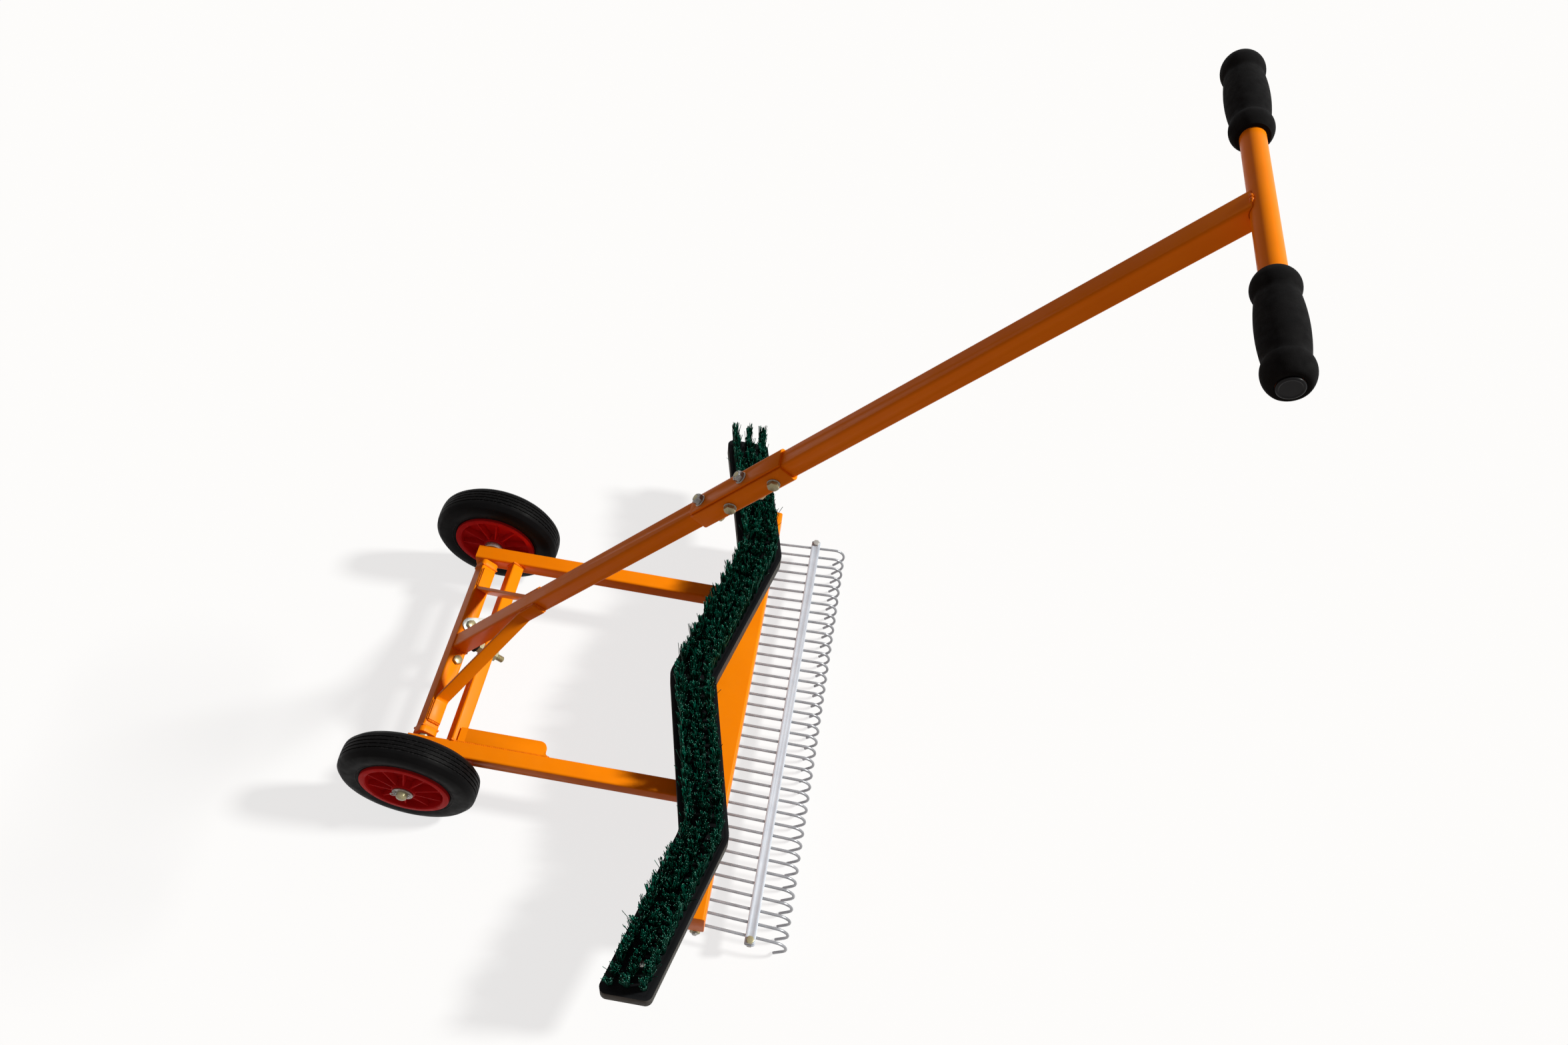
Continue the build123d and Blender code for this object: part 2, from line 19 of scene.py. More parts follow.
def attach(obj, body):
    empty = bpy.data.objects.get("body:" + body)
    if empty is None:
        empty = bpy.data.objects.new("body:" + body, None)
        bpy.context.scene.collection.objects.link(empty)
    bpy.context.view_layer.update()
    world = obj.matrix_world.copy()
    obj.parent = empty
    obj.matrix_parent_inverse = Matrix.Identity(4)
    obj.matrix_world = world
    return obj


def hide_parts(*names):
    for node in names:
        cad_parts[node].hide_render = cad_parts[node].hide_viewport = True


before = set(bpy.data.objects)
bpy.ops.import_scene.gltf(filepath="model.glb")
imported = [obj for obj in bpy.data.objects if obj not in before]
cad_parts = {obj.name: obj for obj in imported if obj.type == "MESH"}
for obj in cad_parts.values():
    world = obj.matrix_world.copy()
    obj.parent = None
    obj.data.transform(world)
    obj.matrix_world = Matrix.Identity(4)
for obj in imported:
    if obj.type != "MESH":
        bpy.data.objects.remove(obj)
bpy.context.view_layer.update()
LOG = logging.getLogger("turf_rake")

MM = 0.001
# Height of the ground under the axle, the gap between faces that meet, and the overlap inside a joint
GROUND = -100.0
GAP = 0.02
SINK = 0.2
AXLE = Vector((-0.38331, 0.0, 0.1))
SLOPE = math.radians(50.0)
ALONG = Vector((math.cos(SLOPE), 0.0, math.sin(SLOPE)))
ABOVE = Vector((-math.sin(SLOPE), 0.0, math.cos(SLOPE)))
ACROSS = Vector((0.0, 1.0, 0.0))
UP = Vector((0.0, 0.0, 1.0))
FORWARD = Vector((1.0, 0.0, 0.0))
SQUARE = ((-1, -1), (-1, 1), (1, 1), (1, -1), (-1, -1))

# Facets of an arc, and the distance under which a turned shape's points are one
ARC_STEPS = 14
POLE_MERGE = 1e-4
# Hexagon heads and nuts: facets, turned top against the flats, slope of the chamfer
HEX_STEPS = 48
HEX_CROWN = 0.94
HEX_CHAMFER = math.radians(30.0)
# Depth of a thread against its pitch
THREAD_DEPTH = 0.45
# Weld beads: step, height and pace of the ripples, radius of the ends
BEAD_STEP = 0.9
BEAD_RIPPLES = ((0.16, 1.9), (0.06, 0.57))
BEAD_END = 0.55
# Copies of CAD solids: distance of doubles in metres, flat and sharp angles, crease in degrees
NODE_MERGE = 2e-6
NODE_FLAT = math.radians(0.8)
NODE_SHARP = math.radians(38.0)
NODE_CREASE = 40.0

Colour = tuple[float, float, float]
Corner = tuple[float, float, float]
Point = tuple[float, float]
Profile = list[Point]
Shape = bmesh.types.BMesh
Socket = bpy.types.NodeSocket
Material = bpy.types.Material


class Body(str, Enum):
    """Rigid bodies of the tool."""

    CARRIAGE = "carriage"
    HANDLE = "handle"
    LATCH = "latch"
    WHEEL_LEFT = "wheel_left"
    WHEEL_RIGHT = "wheel_right"


class Slot(str, Enum):
    """Material slots of the record."""

    PAINT = "orange_paint"
    ZINC = "zinc_plate"
    WIRE = "spring_wire"
    STRIP = "strip_metal"
    BOARD = "board_plastic"
    BRISTLE = "bristle_fibre"
    TYRE = "tyre_rubber"
    HUB = "hub_plastic"
    BUFFER = "buffer_rubber"
    FOAM = "grip_foam"
    PLUG = "plug_plastic"


class Side(Enum):
    """Left and right as seen from behind the wheels."""

    LEFT = 1
    RIGHT = -1

    @property
    def label(self) -> str:
        """The side's name in lower case."""
        return self.name.lower()


# Places


def basis(origin: Vector, x: Vector, z: Vector) -> Matrix:
    """Matrix from a piece's own millimetres to the row frame.

    Args:
        origin: place of the piece's zero, in metres.
        x: direction of its x axis.
        z: direction of its z axis, square to x.

    Returns:
        The matrix, with the change of unit in it.
    """
    y = z.cross(x)
    turn = Matrix((x, y, z)).transposed().to_4x4()
    return Matrix.Translation(origin) @ turn @ Matrix.Scale(MM, 4)


def handle_point(y: float, t: float, s: float) -> Vector:
    """A point given in the handle's axes, in metres in the row frame."""
    return AXLE + (ACROSS * y + ABOVE * t + ALONG * s) * MM


def tool_point(x: float, y: float, z: float) -> Vector:
    """A point given from the axle, in metres in the row frame."""
    return AXLE + Vector((x, y, z)) * MM


def along_handle(y: float, t: float, s: float) -> Matrix:
    """Own x across the handle, y above it and z along it."""
    return basis(handle_point(y, t, s), ACROSS, ALONG)


def over_handle(y: float, t: float, s: float, up: int = 1) -> Matrix:
    """Own z out of the handle's top face, or of its bottom face."""
    return basis(handle_point(y, t, s), ACROSS, ABOVE * up)


def beside_handle(y: float, t: float, s: float, side: int) -> Matrix:
    """Own z out of the handle's left or right face."""
    return basis(handle_point(y, t, s), ALONG, ACROSS * side)


def level(x: float, y: float, z: float, up: int = 1) -> Matrix:
    """Own z straight up or down."""
    return basis(tool_point(x, y, z), FORWARD, UP * up)


def sideways(x: float, y: float, z: float, side: int) -> Matrix:
    """Own z out to the left or the right."""
    return basis(tool_point(x, y, z), FORWARD, ACROSS * side)


# Shapes, each in its own millimetres


def verts_of(made: list[object]) -> list[bmesh.types.BMVert]:
    """Vertices among what an operator made."""
    return [g for g in made if isinstance(g, bmesh.types.BMVert)]


def edges_of(made: list[object]) -> list[bmesh.types.BMEdge]:
    """Edges among what an operator made."""
    return [g for g in made if isinstance(g, bmesh.types.BMEdge)]


def mirrored(half: Profile) -> Profile:
    """The other half of an outline, on the way back."""
    return [(r, -z) for r, z in reversed(half)]


def block(x: float, y: float, z: float) -> Shape:
    """A plain block about its own middle.

    Args:
        x: its length.
        y: its width.
        z: its height.

    Returns:
        A closed mesh.
    """
    bm = bmesh.new()
    bmesh.ops.create_cube(bm, size=1.0)
    bmesh.ops.scale(bm, vec=(x, y, z), verts=bm.verts)
    return bm


def turned(profile: Profile, steps: int = 48) -> Shape:
    """A shape turned about its z axis.

    Args:
        profile: radius and height of each point of the outline.
        steps: facets round the axis.

    Returns:
        A closed mesh with outward normals.
    """
    bm = bmesh.new()
    verts = [bm.verts.new((r, 0.0, z)) for r, z in profile]
    edges = [bm.edges.new(pair) for pair in zip(verts, verts[1:])]
    bmesh.ops.spin(
        bm, geom=verts + edges, cent=(0, 0, 0), axis=(0, 0, 1), angle=math.tau,
        steps=steps, use_merge=True,
    )
    bmesh.ops.remove_doubles(bm, verts=bm.verts, dist=POLE_MERGE)
    bmesh.ops.recalc_face_normals(bm, faces=bm.faces)
    return bm


def round_pin(radius: float, low: float, high: float, steps: int = 20) -> Shape:
    """A plain round pin between two heights."""
    return turned([(0, low), (radius, low), (radius, high), (0, high)], steps)


def arc_through(start: Point, crest: Point, end: Point) -> Profile:
    """Points of the arc through three points, its last one left out.

    Args:
        start: first point.
        crest: point on the way.
        end: last point.

    Returns:
        The points from the first on.
    """
    (ax, ay), (bx, by), (cx, cy) = start, crest, end
    squares = (ax * ax + ay * ay, bx * bx + by * by, cx * cx + cy * cy)
    area = 2 * (ax * (by - cy) + bx * (cy - ay) + cx * (ay - by))
    mx = (squares[0] * (by - cy) + squares[1] * (cy - ay) + squares[2] * (ay - by)) / area
    my = (squares[0] * (cx - bx) + squares[1] * (ax - cx) + squares[2] * (bx - ax)) / area
    radius = math.dist((mx, my), start)
    first, last = math.atan2(ay - my, ax - mx), math.atan2(cy - my, cx - mx)
    turns = [first + (last - first) * k / ARC_STEPS for k in range(ARC_STEPS)]
    return [(mx + radius * math.cos(a), my + radius * math.sin(a)) for a in turns]


def ring_profile(inner: float, outer: float, low: float, high: float, soft: float) -> Profile:
    """Outline of a flat ring with softened outer edges."""
    return [
        (inner, low), (outer - soft, low), (outer, low + soft),
        (outer, high - soft), (outer - soft, high), (inner, high), (inner, low),
    ]


def hex_solid(flats: float, height: float, base: float = 0.0) -> Shape:
    """A hexagon head or nut with the turned chamfer on its top.

    Args:
        flats: width across flats.
        height: height over its seat.
        base: height of its seat.

    Returns:
        A closed mesh.
    """
    bm = bmesh.new()
    apothem = flats / 2
    crown = apothem * HEX_CROWN
    top = bmesh.ops.create_circle(bm, cap_ends=True, segments=HEX_STEPS, radius=crown)["verts"]
    for v in top:
        v.co.z = base + height
    loop = [e for e in bm.edges if e.is_boundary]
    grown = bmesh.ops.extrude_edge_only(bm, edges=loop)["geom"]
    for v in verts_of(grown):
        angle = math.atan2(v.co.y, v.co.x) % (math.pi / 3) - math.pi / 6
        reach = apothem / math.cos(angle)
        v.co.x *= reach / crown
        v.co.y *= reach / crown
        v.co.z -= (reach - crown) * math.tan(HEX_CHAMFER)
    for v in verts_of(bmesh.ops.extrude_edge_only(bm, edges=edges_of(grown))["geom"]):
        v.co.z = base
    bmesh.ops.holes_fill(bm, edges=[e for e in bm.edges if e.is_boundary])
    bmesh.ops.recalc_face_normals(bm, faces=bm.faces)
    return bm


def threaded(radius: float, length: float, pitch: float = 1.25) -> Shape:
    """A screw end that stands up from z zero, with its thread as fine rings.

    Args:
        radius: outer radius of the thread.
        length: height of the end.
        pitch: distance between rings.

    Returns:
        A closed mesh.
    """
    depth = pitch * THREAD_DEPTH
    outline: Profile = [(0.0, 0.0)]
    turns = max(2, int(length / pitch))
    for k in range(turns):
        low = length * k / turns
        outline += [(radius - depth, low), (radius, low + pitch / 2)]
    outline += [(radius - depth, length), (radius - 2 * depth, length + depth), (0.0, length + depth)]
    return turned(outline, 24)


def wire(points: list[Vector], radii: list[float], sides: int = 10) -> Shape:
    """A round wire that follows a line of points.

    Args:
        points: the line, in any frame.
        radii: radius at each point.
        sides: facets round the wire.

    Returns:
        A closed mesh with flat ends.
    """
    bm = bmesh.new()
    heading = (points[1] - points[0]).normalized()
    turn = heading.to_track_quat("Z", "Y").to_matrix().to_4x4()
    ring = bmesh.ops.create_circle(bm, cap_ends=True, segments=sides, radius=1.0)["verts"]
    for v in ring:
        v.co = points[0] + turn @ (v.co * radii[0])
    edges = [e for e in bm.edges if e.is_boundary]
    last = len(points) - 1
    for k in range(1, last + 1):
        ahead = points[min(k + 1, last)] - points[k - 1 if k < last else last - 1]
        swing = heading.rotation_difference(ahead.normalized())
        heading = ahead.normalized()
        made = bmesh.ops.extrude_edge_only(bm, edges=edges)["geom"]
        for v in verts_of(made):
            v.co -= points[k - 1]
            v.co = points[k] + swing @ (v.co * (radii[k] / radii[k - 1]))
        edges = edges_of(made)
    bmesh.ops.holes_fill(bm, edges=edges)
    bmesh.ops.recalc_face_normals(bm, faces=bm.faces)
    return bm


def bead(corners: list[Vector], radius: float) -> Shape:
    """A rippled weld bead along a line of corners.

    Args:
        corners: the line, in millimetres.
        radius: mean radius of the bead.

    Returns:
        A closed mesh in the same frame.
    """
    line: list[Vector] = []
    for a, b in zip(corners, corners[1:]):
        steps = max(2, round((b - a).length / BEAD_STEP))
        line += [a.lerp(b, k / steps) for k in range(steps)]
    line.append(corners[-1])
    radii = []
    for k in range(len(line)):
        radii.append(radius * (1 + sum(high * math.sin(k * pace) for high, pace in BEAD_RIPPLES)))
    radii[0] = radii[-1] = radius * BEAD_END
    return wire(line, radii, 8)


def flat_piece(outline: Profile, low: float, high: float) -> Shape:
    """A flat piece of even thickness.

    Args:
        outline: its corners seen from above.
        low: height of its underside.
        high: height of its top.

    Returns:
        The closed solid.
    """
    bm = bmesh.new()
    face = bm.faces.new([bm.verts.new((x, y, low)) for x, y in outline])
    for v in verts_of(bmesh.ops.extrude_face_region(bm, geom=[face])["geom"]):
        v.co.z = high
    bmesh.ops.recalc_face_normals(bm, faces=bm.faces)
    return bm


def softened(node: str, width: float) -> Shape:
    """A copy of a CAD solid, in metres, with its sharp edges rounded.

    Args:
        node: name of the CAD node.
        width: size of the rounding in millimetres.

    Returns:
        A closed mesh in the row frame.
    """
    bm = bmesh.new()
    bm.from_mesh(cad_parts[node].data)
    bmesh.ops.remove_doubles(bm, verts=bm.verts, dist=NODE_MERGE)
    bmesh.ops.dissolve_limit(
        bm, angle_limit=NODE_FLAT, verts=bm.verts, edges=bm.edges, use_dissolve_boundaries=False,
    )
    sharp = [e for e in bm.edges if e.is_manifold and e.calc_face_angle(0.0) > NODE_SHARP]
    bmesh.ops.bevel(
        bm, geom=sharp, offset=width * MM, offset_type="OFFSET", affect="EDGES",
        segments=2, profile=0.5, material=-1, clamp_overlap=True,
    )
    return bm


class Workpiece:
    """A mesh that is put together from shapes and becomes one object."""

    def __init__(self, name: str) -> None:
        """Start an empty piece."""
        self.name = name
        self.bm = bmesh.new()

    def join(self, part: Shape, place: Matrix | None = None, surface: int = 0) -> "Workpiece":
        """Add a shape and use it up.

        Args:
            part: the shape.
            place: matrix to the row frame, or None if it is there already.
            surface: index of its material.

        Returns:
            The piece itself.
        """
        if place is not None:
            part.transform(place)
        for face in part.faces:
            if surface:
                face.material_index = surface
            face.smooth = True
        loose = bpy.data.meshes.new("loose")
        part.to_mesh(loose)
        part.free()
        self.bm.from_mesh(loose)
        bpy.data.meshes.remove(loose)
        return self

    def finish(
        self, body: Body, slot: Slot, finishes: list[Material],
        replaces: tuple[str, ...] = (), crease: float = 32.0,
    ) -> bpy.types.Object:
        """Make the object, dress it and tie it to the frame.

        Args:
            body: body that carries it.
            slot: material slot of the record; not used.
            finishes: its materials in order of their index.
            replaces: CAD nodes it stands for.
            crease: angle in degrees over which an edge stays sharp.

        Returns:
            The finished object.
        """
        mesh = bpy.data.meshes.new(self.name)
        self.bm.to_mesh(mesh)
        self.bm.free()
        for material in finishes:
            mesh.materials.append(material)
        mesh.set_sharp_from_angle(angle=math.radians(crease))
        obj = bpy.data.objects.new(self.name, mesh)
        bpy.context.scene.collection.objects.link(obj)
        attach(obj, body.value)
        if replaces:
            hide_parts(*replaces)
        LOG.info("%s on %s: %d faces", self.name, body.value, len(mesh.polygons))
        return obj


class Seams(Workpiece):
    """Weld beads that become one object."""

    def lay(self, corners: Iterable[Corner | Vector], radius: float, place: Matrix) -> None:
        """Lay a bead along a line of corners."""
        self.join(bead([Vector(corner) for corner in corners], radius), place)


def dress(node: str, name: str, width: float, body: Body, slot: Slot, finish: Material) -> None:
    """Put a finish on a CAD solid with its edges softened by a width."""
    Workpiece(name).join(softened(node, width)).finish(body, slot, [finish], (node,), NODE_CREASE)


# Finishes


class Graph:
    """Short way to add and link shader nodes."""

    MIX_INPUTS = (0, 6, 7)
    MIX_COLOUR = 2

    def __init__(self, tree: bpy.types.NodeTree) -> None:
        """Hold the tree."""
        self.tree = tree

    def feed(self, socket: Socket, value: object) -> None:
        """Link an input, or give it a plain value.

        Args:
            socket: the input.
            value: a socket to link, three numbers of a colour, or any other value.
        """
        if isinstance(value, Socket):
            self.tree.links.new(value, socket)
        elif socket.type == "RGBA":
            socket.default_value = (*value, 1.0)
        else:
            socket.default_value = value

    def add(self, kind: str, *inputs: object, **values: object) -> bpy.types.Node:
        """Add a node and set it up.

        Args:
            kind: node type without its ShaderNode prefix.
            inputs: what its first sockets take, in their order.
            values: its properties by name or, failing that, its sockets, with _ for a space.

        Returns:
            The new node.
        """
        node = self.tree.nodes.new("ShaderNode" + kind)
        for socket, value in zip(node.inputs, inputs):
            self.feed(socket, value)
        for key, value in values.items():
            if hasattr(node, key):
                setattr(node, key, value)
            else:
                self.feed(node.inputs[key.replace("_", " ")], value)
        return node

    def blend(self, share: object, low: object, high: object) -> Socket:
        """Mix two colours.

        Args:
            share: socket or number that gives the second colour's share.
            low: first colour, as a socket or three numbers.
            high: second colour, as a socket or three numbers.

        Returns:
            The mixed colour's socket.
        """
        node = self.add("Mix", data_type="RGBA")
        for index, value in zip(self.MIX_INPUTS, (share, low, high)):
            self.feed(node.inputs[index], value)
        return node.outputs[self.MIX_COLOUR]

    def times(self, first: object, second: object, clamp: bool = False) -> Socket:
        """Product of two values, kept from 0 to 1 if asked."""
        return self.add("Math", first, second, operation="MULTIPLY", use_clamp=clamp).outputs["Value"]

    def group(self, tree: bpy.types.NodeTree, **values: object) -> bpy.types.Node:
        """Place a shader group and feed its inputs."""
        return self.add("Group", node_tree=tree, **values)


class SharedEffects:
    """Shader groups that several finishes use, each made once."""

    _made: dict[str, bpy.types.NodeTree] = {}

    @classmethod
    def _start(
        cls, name: str, numbers: tuple[str, ...], output: str,
    ) -> tuple[Graph, bpy.types.NodeOutputs, Socket]:
        """Start a group that reads coordinates and puts out one number.

        Args:
            name: its name.
            numbers: names of its inputs after Vector.
            output: name of its output.

        Returns:
            Its graph, its inputs as they are read inside, and the socket that takes its output.
        """
        tree = bpy.data.node_groups.new(name, "ShaderNodeTree")
        tree.interface.new_socket("Vector", in_out="INPUT", socket_type="NodeSocketVector")
        for number in numbers:
            tree.interface.new_socket(number, in_out="INPUT", socket_type="NodeSocketFloat")
        tree.interface.new_socket(output, in_out="OUTPUT", socket_type="NodeSocketFloat")
        cls._made[name] = tree
        entry, leave = tree.nodes.new("NodeGroupInput"), tree.nodes.new("NodeGroupOutput")
        return Graph(tree), entry.outputs, leave.inputs[output]

    @classmethod
    def mottle(cls) -> bpy.types.NodeTree:
        """Soft uneven patches.

        Returns:
            The group: Scale sets the patches in a metre, and Value runs from Low to High.
        """
        if "mottle" not in cls._made:
            g, given, value = cls._start("mottle", ("Scale", "Low", "High"), "Value")
            noise = g.add("TexNoise", Vector=given["Vector"], Scale=given["Scale"], Detail=4.0, Roughness=0.6)
            spread = g.add("MapRange", noise.outputs["Fac"], From_Min=0.3, From_Max=0.7)
            g.feed(spread.inputs["To Min"], given["Low"])
            g.feed(spread.inputs["To Max"], given["High"])
            g.feed(value, spread.outputs["Result"])
        return cls._made["mottle"]

    @classmethod
    def edge_wear_and_glint(cls) -> bpy.types.NodeTree:
        """Broken line along convex edges.

        Returns:
            The group: Width is in metres, and Mask is 1 on the edge band, which is wear, and on the tyre
                partly a painted glint.
        """
        if "edge_wear_and_glint" not in cls._made:
            g, given, mask = cls._start("edge_wear_and_glint", ("Width", "Amount"), "Mask")
            rounded = g.add("Bevel", Radius=given["Width"], samples=4).outputs["Normal"]
            surface = g.add("NewGeometry").outputs["Normal"]
            dot = g.add("VectorMath", rounded, surface, operation="DOT_PRODUCT")
            turn = g.add("MapRange", dot.outputs["Value"], From_Min=0.995, From_Max=0.93)
            noise = g.add("TexNoise", Vector=given["Vector"], Scale=260.0, Detail=3.0)
            broken = g.add("MapRange", noise.outputs["Fac"], From_Min=0.5, From_Max=0.62)
            edge_band = g.times(turn.outputs["Result"], broken.outputs["Result"])
            g.feed(mask, g.times(edge_band, given["Amount"], clamp=True))
        return cls._made["edge_wear_and_glint"]

    @classmethod
    def dust(cls) -> bpy.types.NodeTree:
        """Dust that settles on upward faces in patches.

        Returns:
            The group: Mask is the dust's share.
        """
        if "dust" not in cls._made:
            g, given, mask = cls._start("dust", ("Amount",), "Mask")
            facing = g.add("SeparateXYZ", g.add("NewGeometry").outputs["Normal"])
            upward = g.add("MapRange", facing.outputs["Z"], From_Min=-0.2, From_Max=1.0)
            noise = g.add("TexNoise", Vector=given["Vector"], Scale=45.0, Detail=6.0, Roughness=0.7)
            patch = g.add("MapRange", noise.outputs["Fac"], From_Min=0.45, From_Max=0.75)
            lying = g.times(upward.outputs["Result"], patch.outputs["Result"])
            g.feed(mask, g.times(lying, given["Amount"], clamp=True))
        return cls._made["dust"]


@dataclass(frozen=True)
class Finish:
    """A surface with uneven colour and gloss, fine grain, dust, and an edge band that is wear, and on the
    tyre partly a painted glint.
    """

    name: str
    colour: Colour
    other: Colour
    rough: tuple[float, float]
    patch: float = 30.0
    gloss_patch: float = 2.3
    grain: float = 900.0
    bump: float = 0.02
    bump_strength: float = 0.6
    metallic: float = 0.0
    specular: float = 0.5
    dust: float = 0.0
    dust_colour: Colour = (0.35, 0.32, 0.27)
    # Edge band: wear on most finishes; on the tyre it is partly a painted glint on the groove lips and
    # shoulder.
    wear_and_glint: float = 0.0
    wear_and_glint_width: float = 0.0012
    wear_and_glint_colour: Colour = (0.3, 0.2, 0.12)
    stretch: tuple[float, float, float] = (1.0, 1.0, 1.0)

    def build(self) -> Material:
        """Make the material.

        Returns:
            A material on object coordinates.
        """
        material = bpy.data.materials.new(self.name)
        material.use_nodes = True
        g = Graph(material.node_tree)
        shader = g.tree.nodes["Principled BSDF"].inputs
        where = g.add("TexCoord").outputs["Object"]
        colour = self.tint(g, where)
        if self.dust:
            dust = g.group(SharedEffects.dust(), Vector=where, Amount=self.dust)
            colour = g.blend(dust.outputs["Mask"], colour, self.dust_colour)
        if self.wear_and_glint:
            wear_and_glint = g.group(SharedEffects.edge_wear_and_glint(), Vector=where, Width=self.wear_and_glint_width, Amount=self.wear_and_glint)
            colour = g.blend(wear_and_glint.outputs["Mask"], colour, self.wear_and_glint_colour)
        low, high = self.rough
        gloss = g.group(
            SharedEffects.mottle(), Vector=where, Scale=self.patch * self.gloss_patch, Low=low, High=high,
        )
        relief = g.add("Bump", Strength=self.bump_strength, Distance=self.bump * MM)
        g.feed(relief.inputs["Height"], self.relief(g, where))
        g.feed(shader["Base Color"], colour)
        g.feed(shader["Metallic"], self.metallic)
        g.feed(shader["Roughness"], gloss.outputs["Value"])
        g.feed(shader["Specular IOR Level"], self.specular)
        g.feed(shader["Normal"], relief.outputs["Normal"])
        return material

    def tint(self, g: Graph, where: Socket) -> Socket:
        """Colour before dust and wear.

        Args:
            g: graph of the material.
            where: coordinates.

        Returns:
            The colour's socket.
        """
        patches = g.group(SharedEffects.mottle(), Vector=where, Scale=self.patch, Low=0.0, High=1.0)
        return g.blend(patches.outputs["Value"], self.colour, self.other)

    def relief(self, g: Graph, where: Socket) -> Socket:
        """Height of the fine grain.

        Args:
            g: graph of the material.
            where: coordinates.

        Returns:
            The height's socket.
        """
        mapping = g.add("Mapping", Vector=where, Scale=self.stretch)
        noise = g.add("TexNoise", Vector=mapping.outputs["Vector"], Scale=self.grain, Detail=3.0)
        return noise.outputs["Fac"]


@dataclass(frozen=True)
class FoamFinish(Finish):
    """Closed-cell foam: a skin of small pits."""

    pit_edge: float = 0.4

    def relief(self, g: Graph, where: Socket) -> Socket:
        """Height of the pitted skin.

        Args:
            g: graph of the material.
            where: coordinates.

        Returns:
            The height's socket.
        """
        cells = g.add("TexVoronoi", feature="SMOOTH_F1", Scale=self.grain, Smoothness=self.pit_edge)
        g.feed(cells.inputs["Vector"], where)
        return cells.outputs["Distance"]


@dataclass(frozen=True)
class BristleFinish(Finish):
    """Stiff fibre, dark at the root and lighter at the tip; the dark root is painted shade inside the dense
    tufts.
    """

    # Heights in metres from the board's top, where the root's painted shade is darkest, up to the tips.
    root_z: float = 0.137
    tip_z: float = 0.186
    darkest: float = 0.35

    def tint(self, g: Graph, where: Socket) -> Socket:
        """Colour from the root's painted shade to the tip, uneven from strand to strand.

        Args:
            g: graph of the material.
            where: coordinates.

        Returns:
            The colour's socket.
        """
        height = g.add("SeparateXYZ", where).outputs["Z"]
        rise = g.add("MapRange", height, From_Min=self.root_z, From_Max=self.tip_z)
        strands = g.group(SharedEffects.mottle(), Vector=where, Scale=self.patch, Low=self.darkest, High=1.0)
        share = g.times(rise.outputs["Result"], strands.outputs["Value"], clamp=True)
        return g.blend(share, self.colour, self.other)


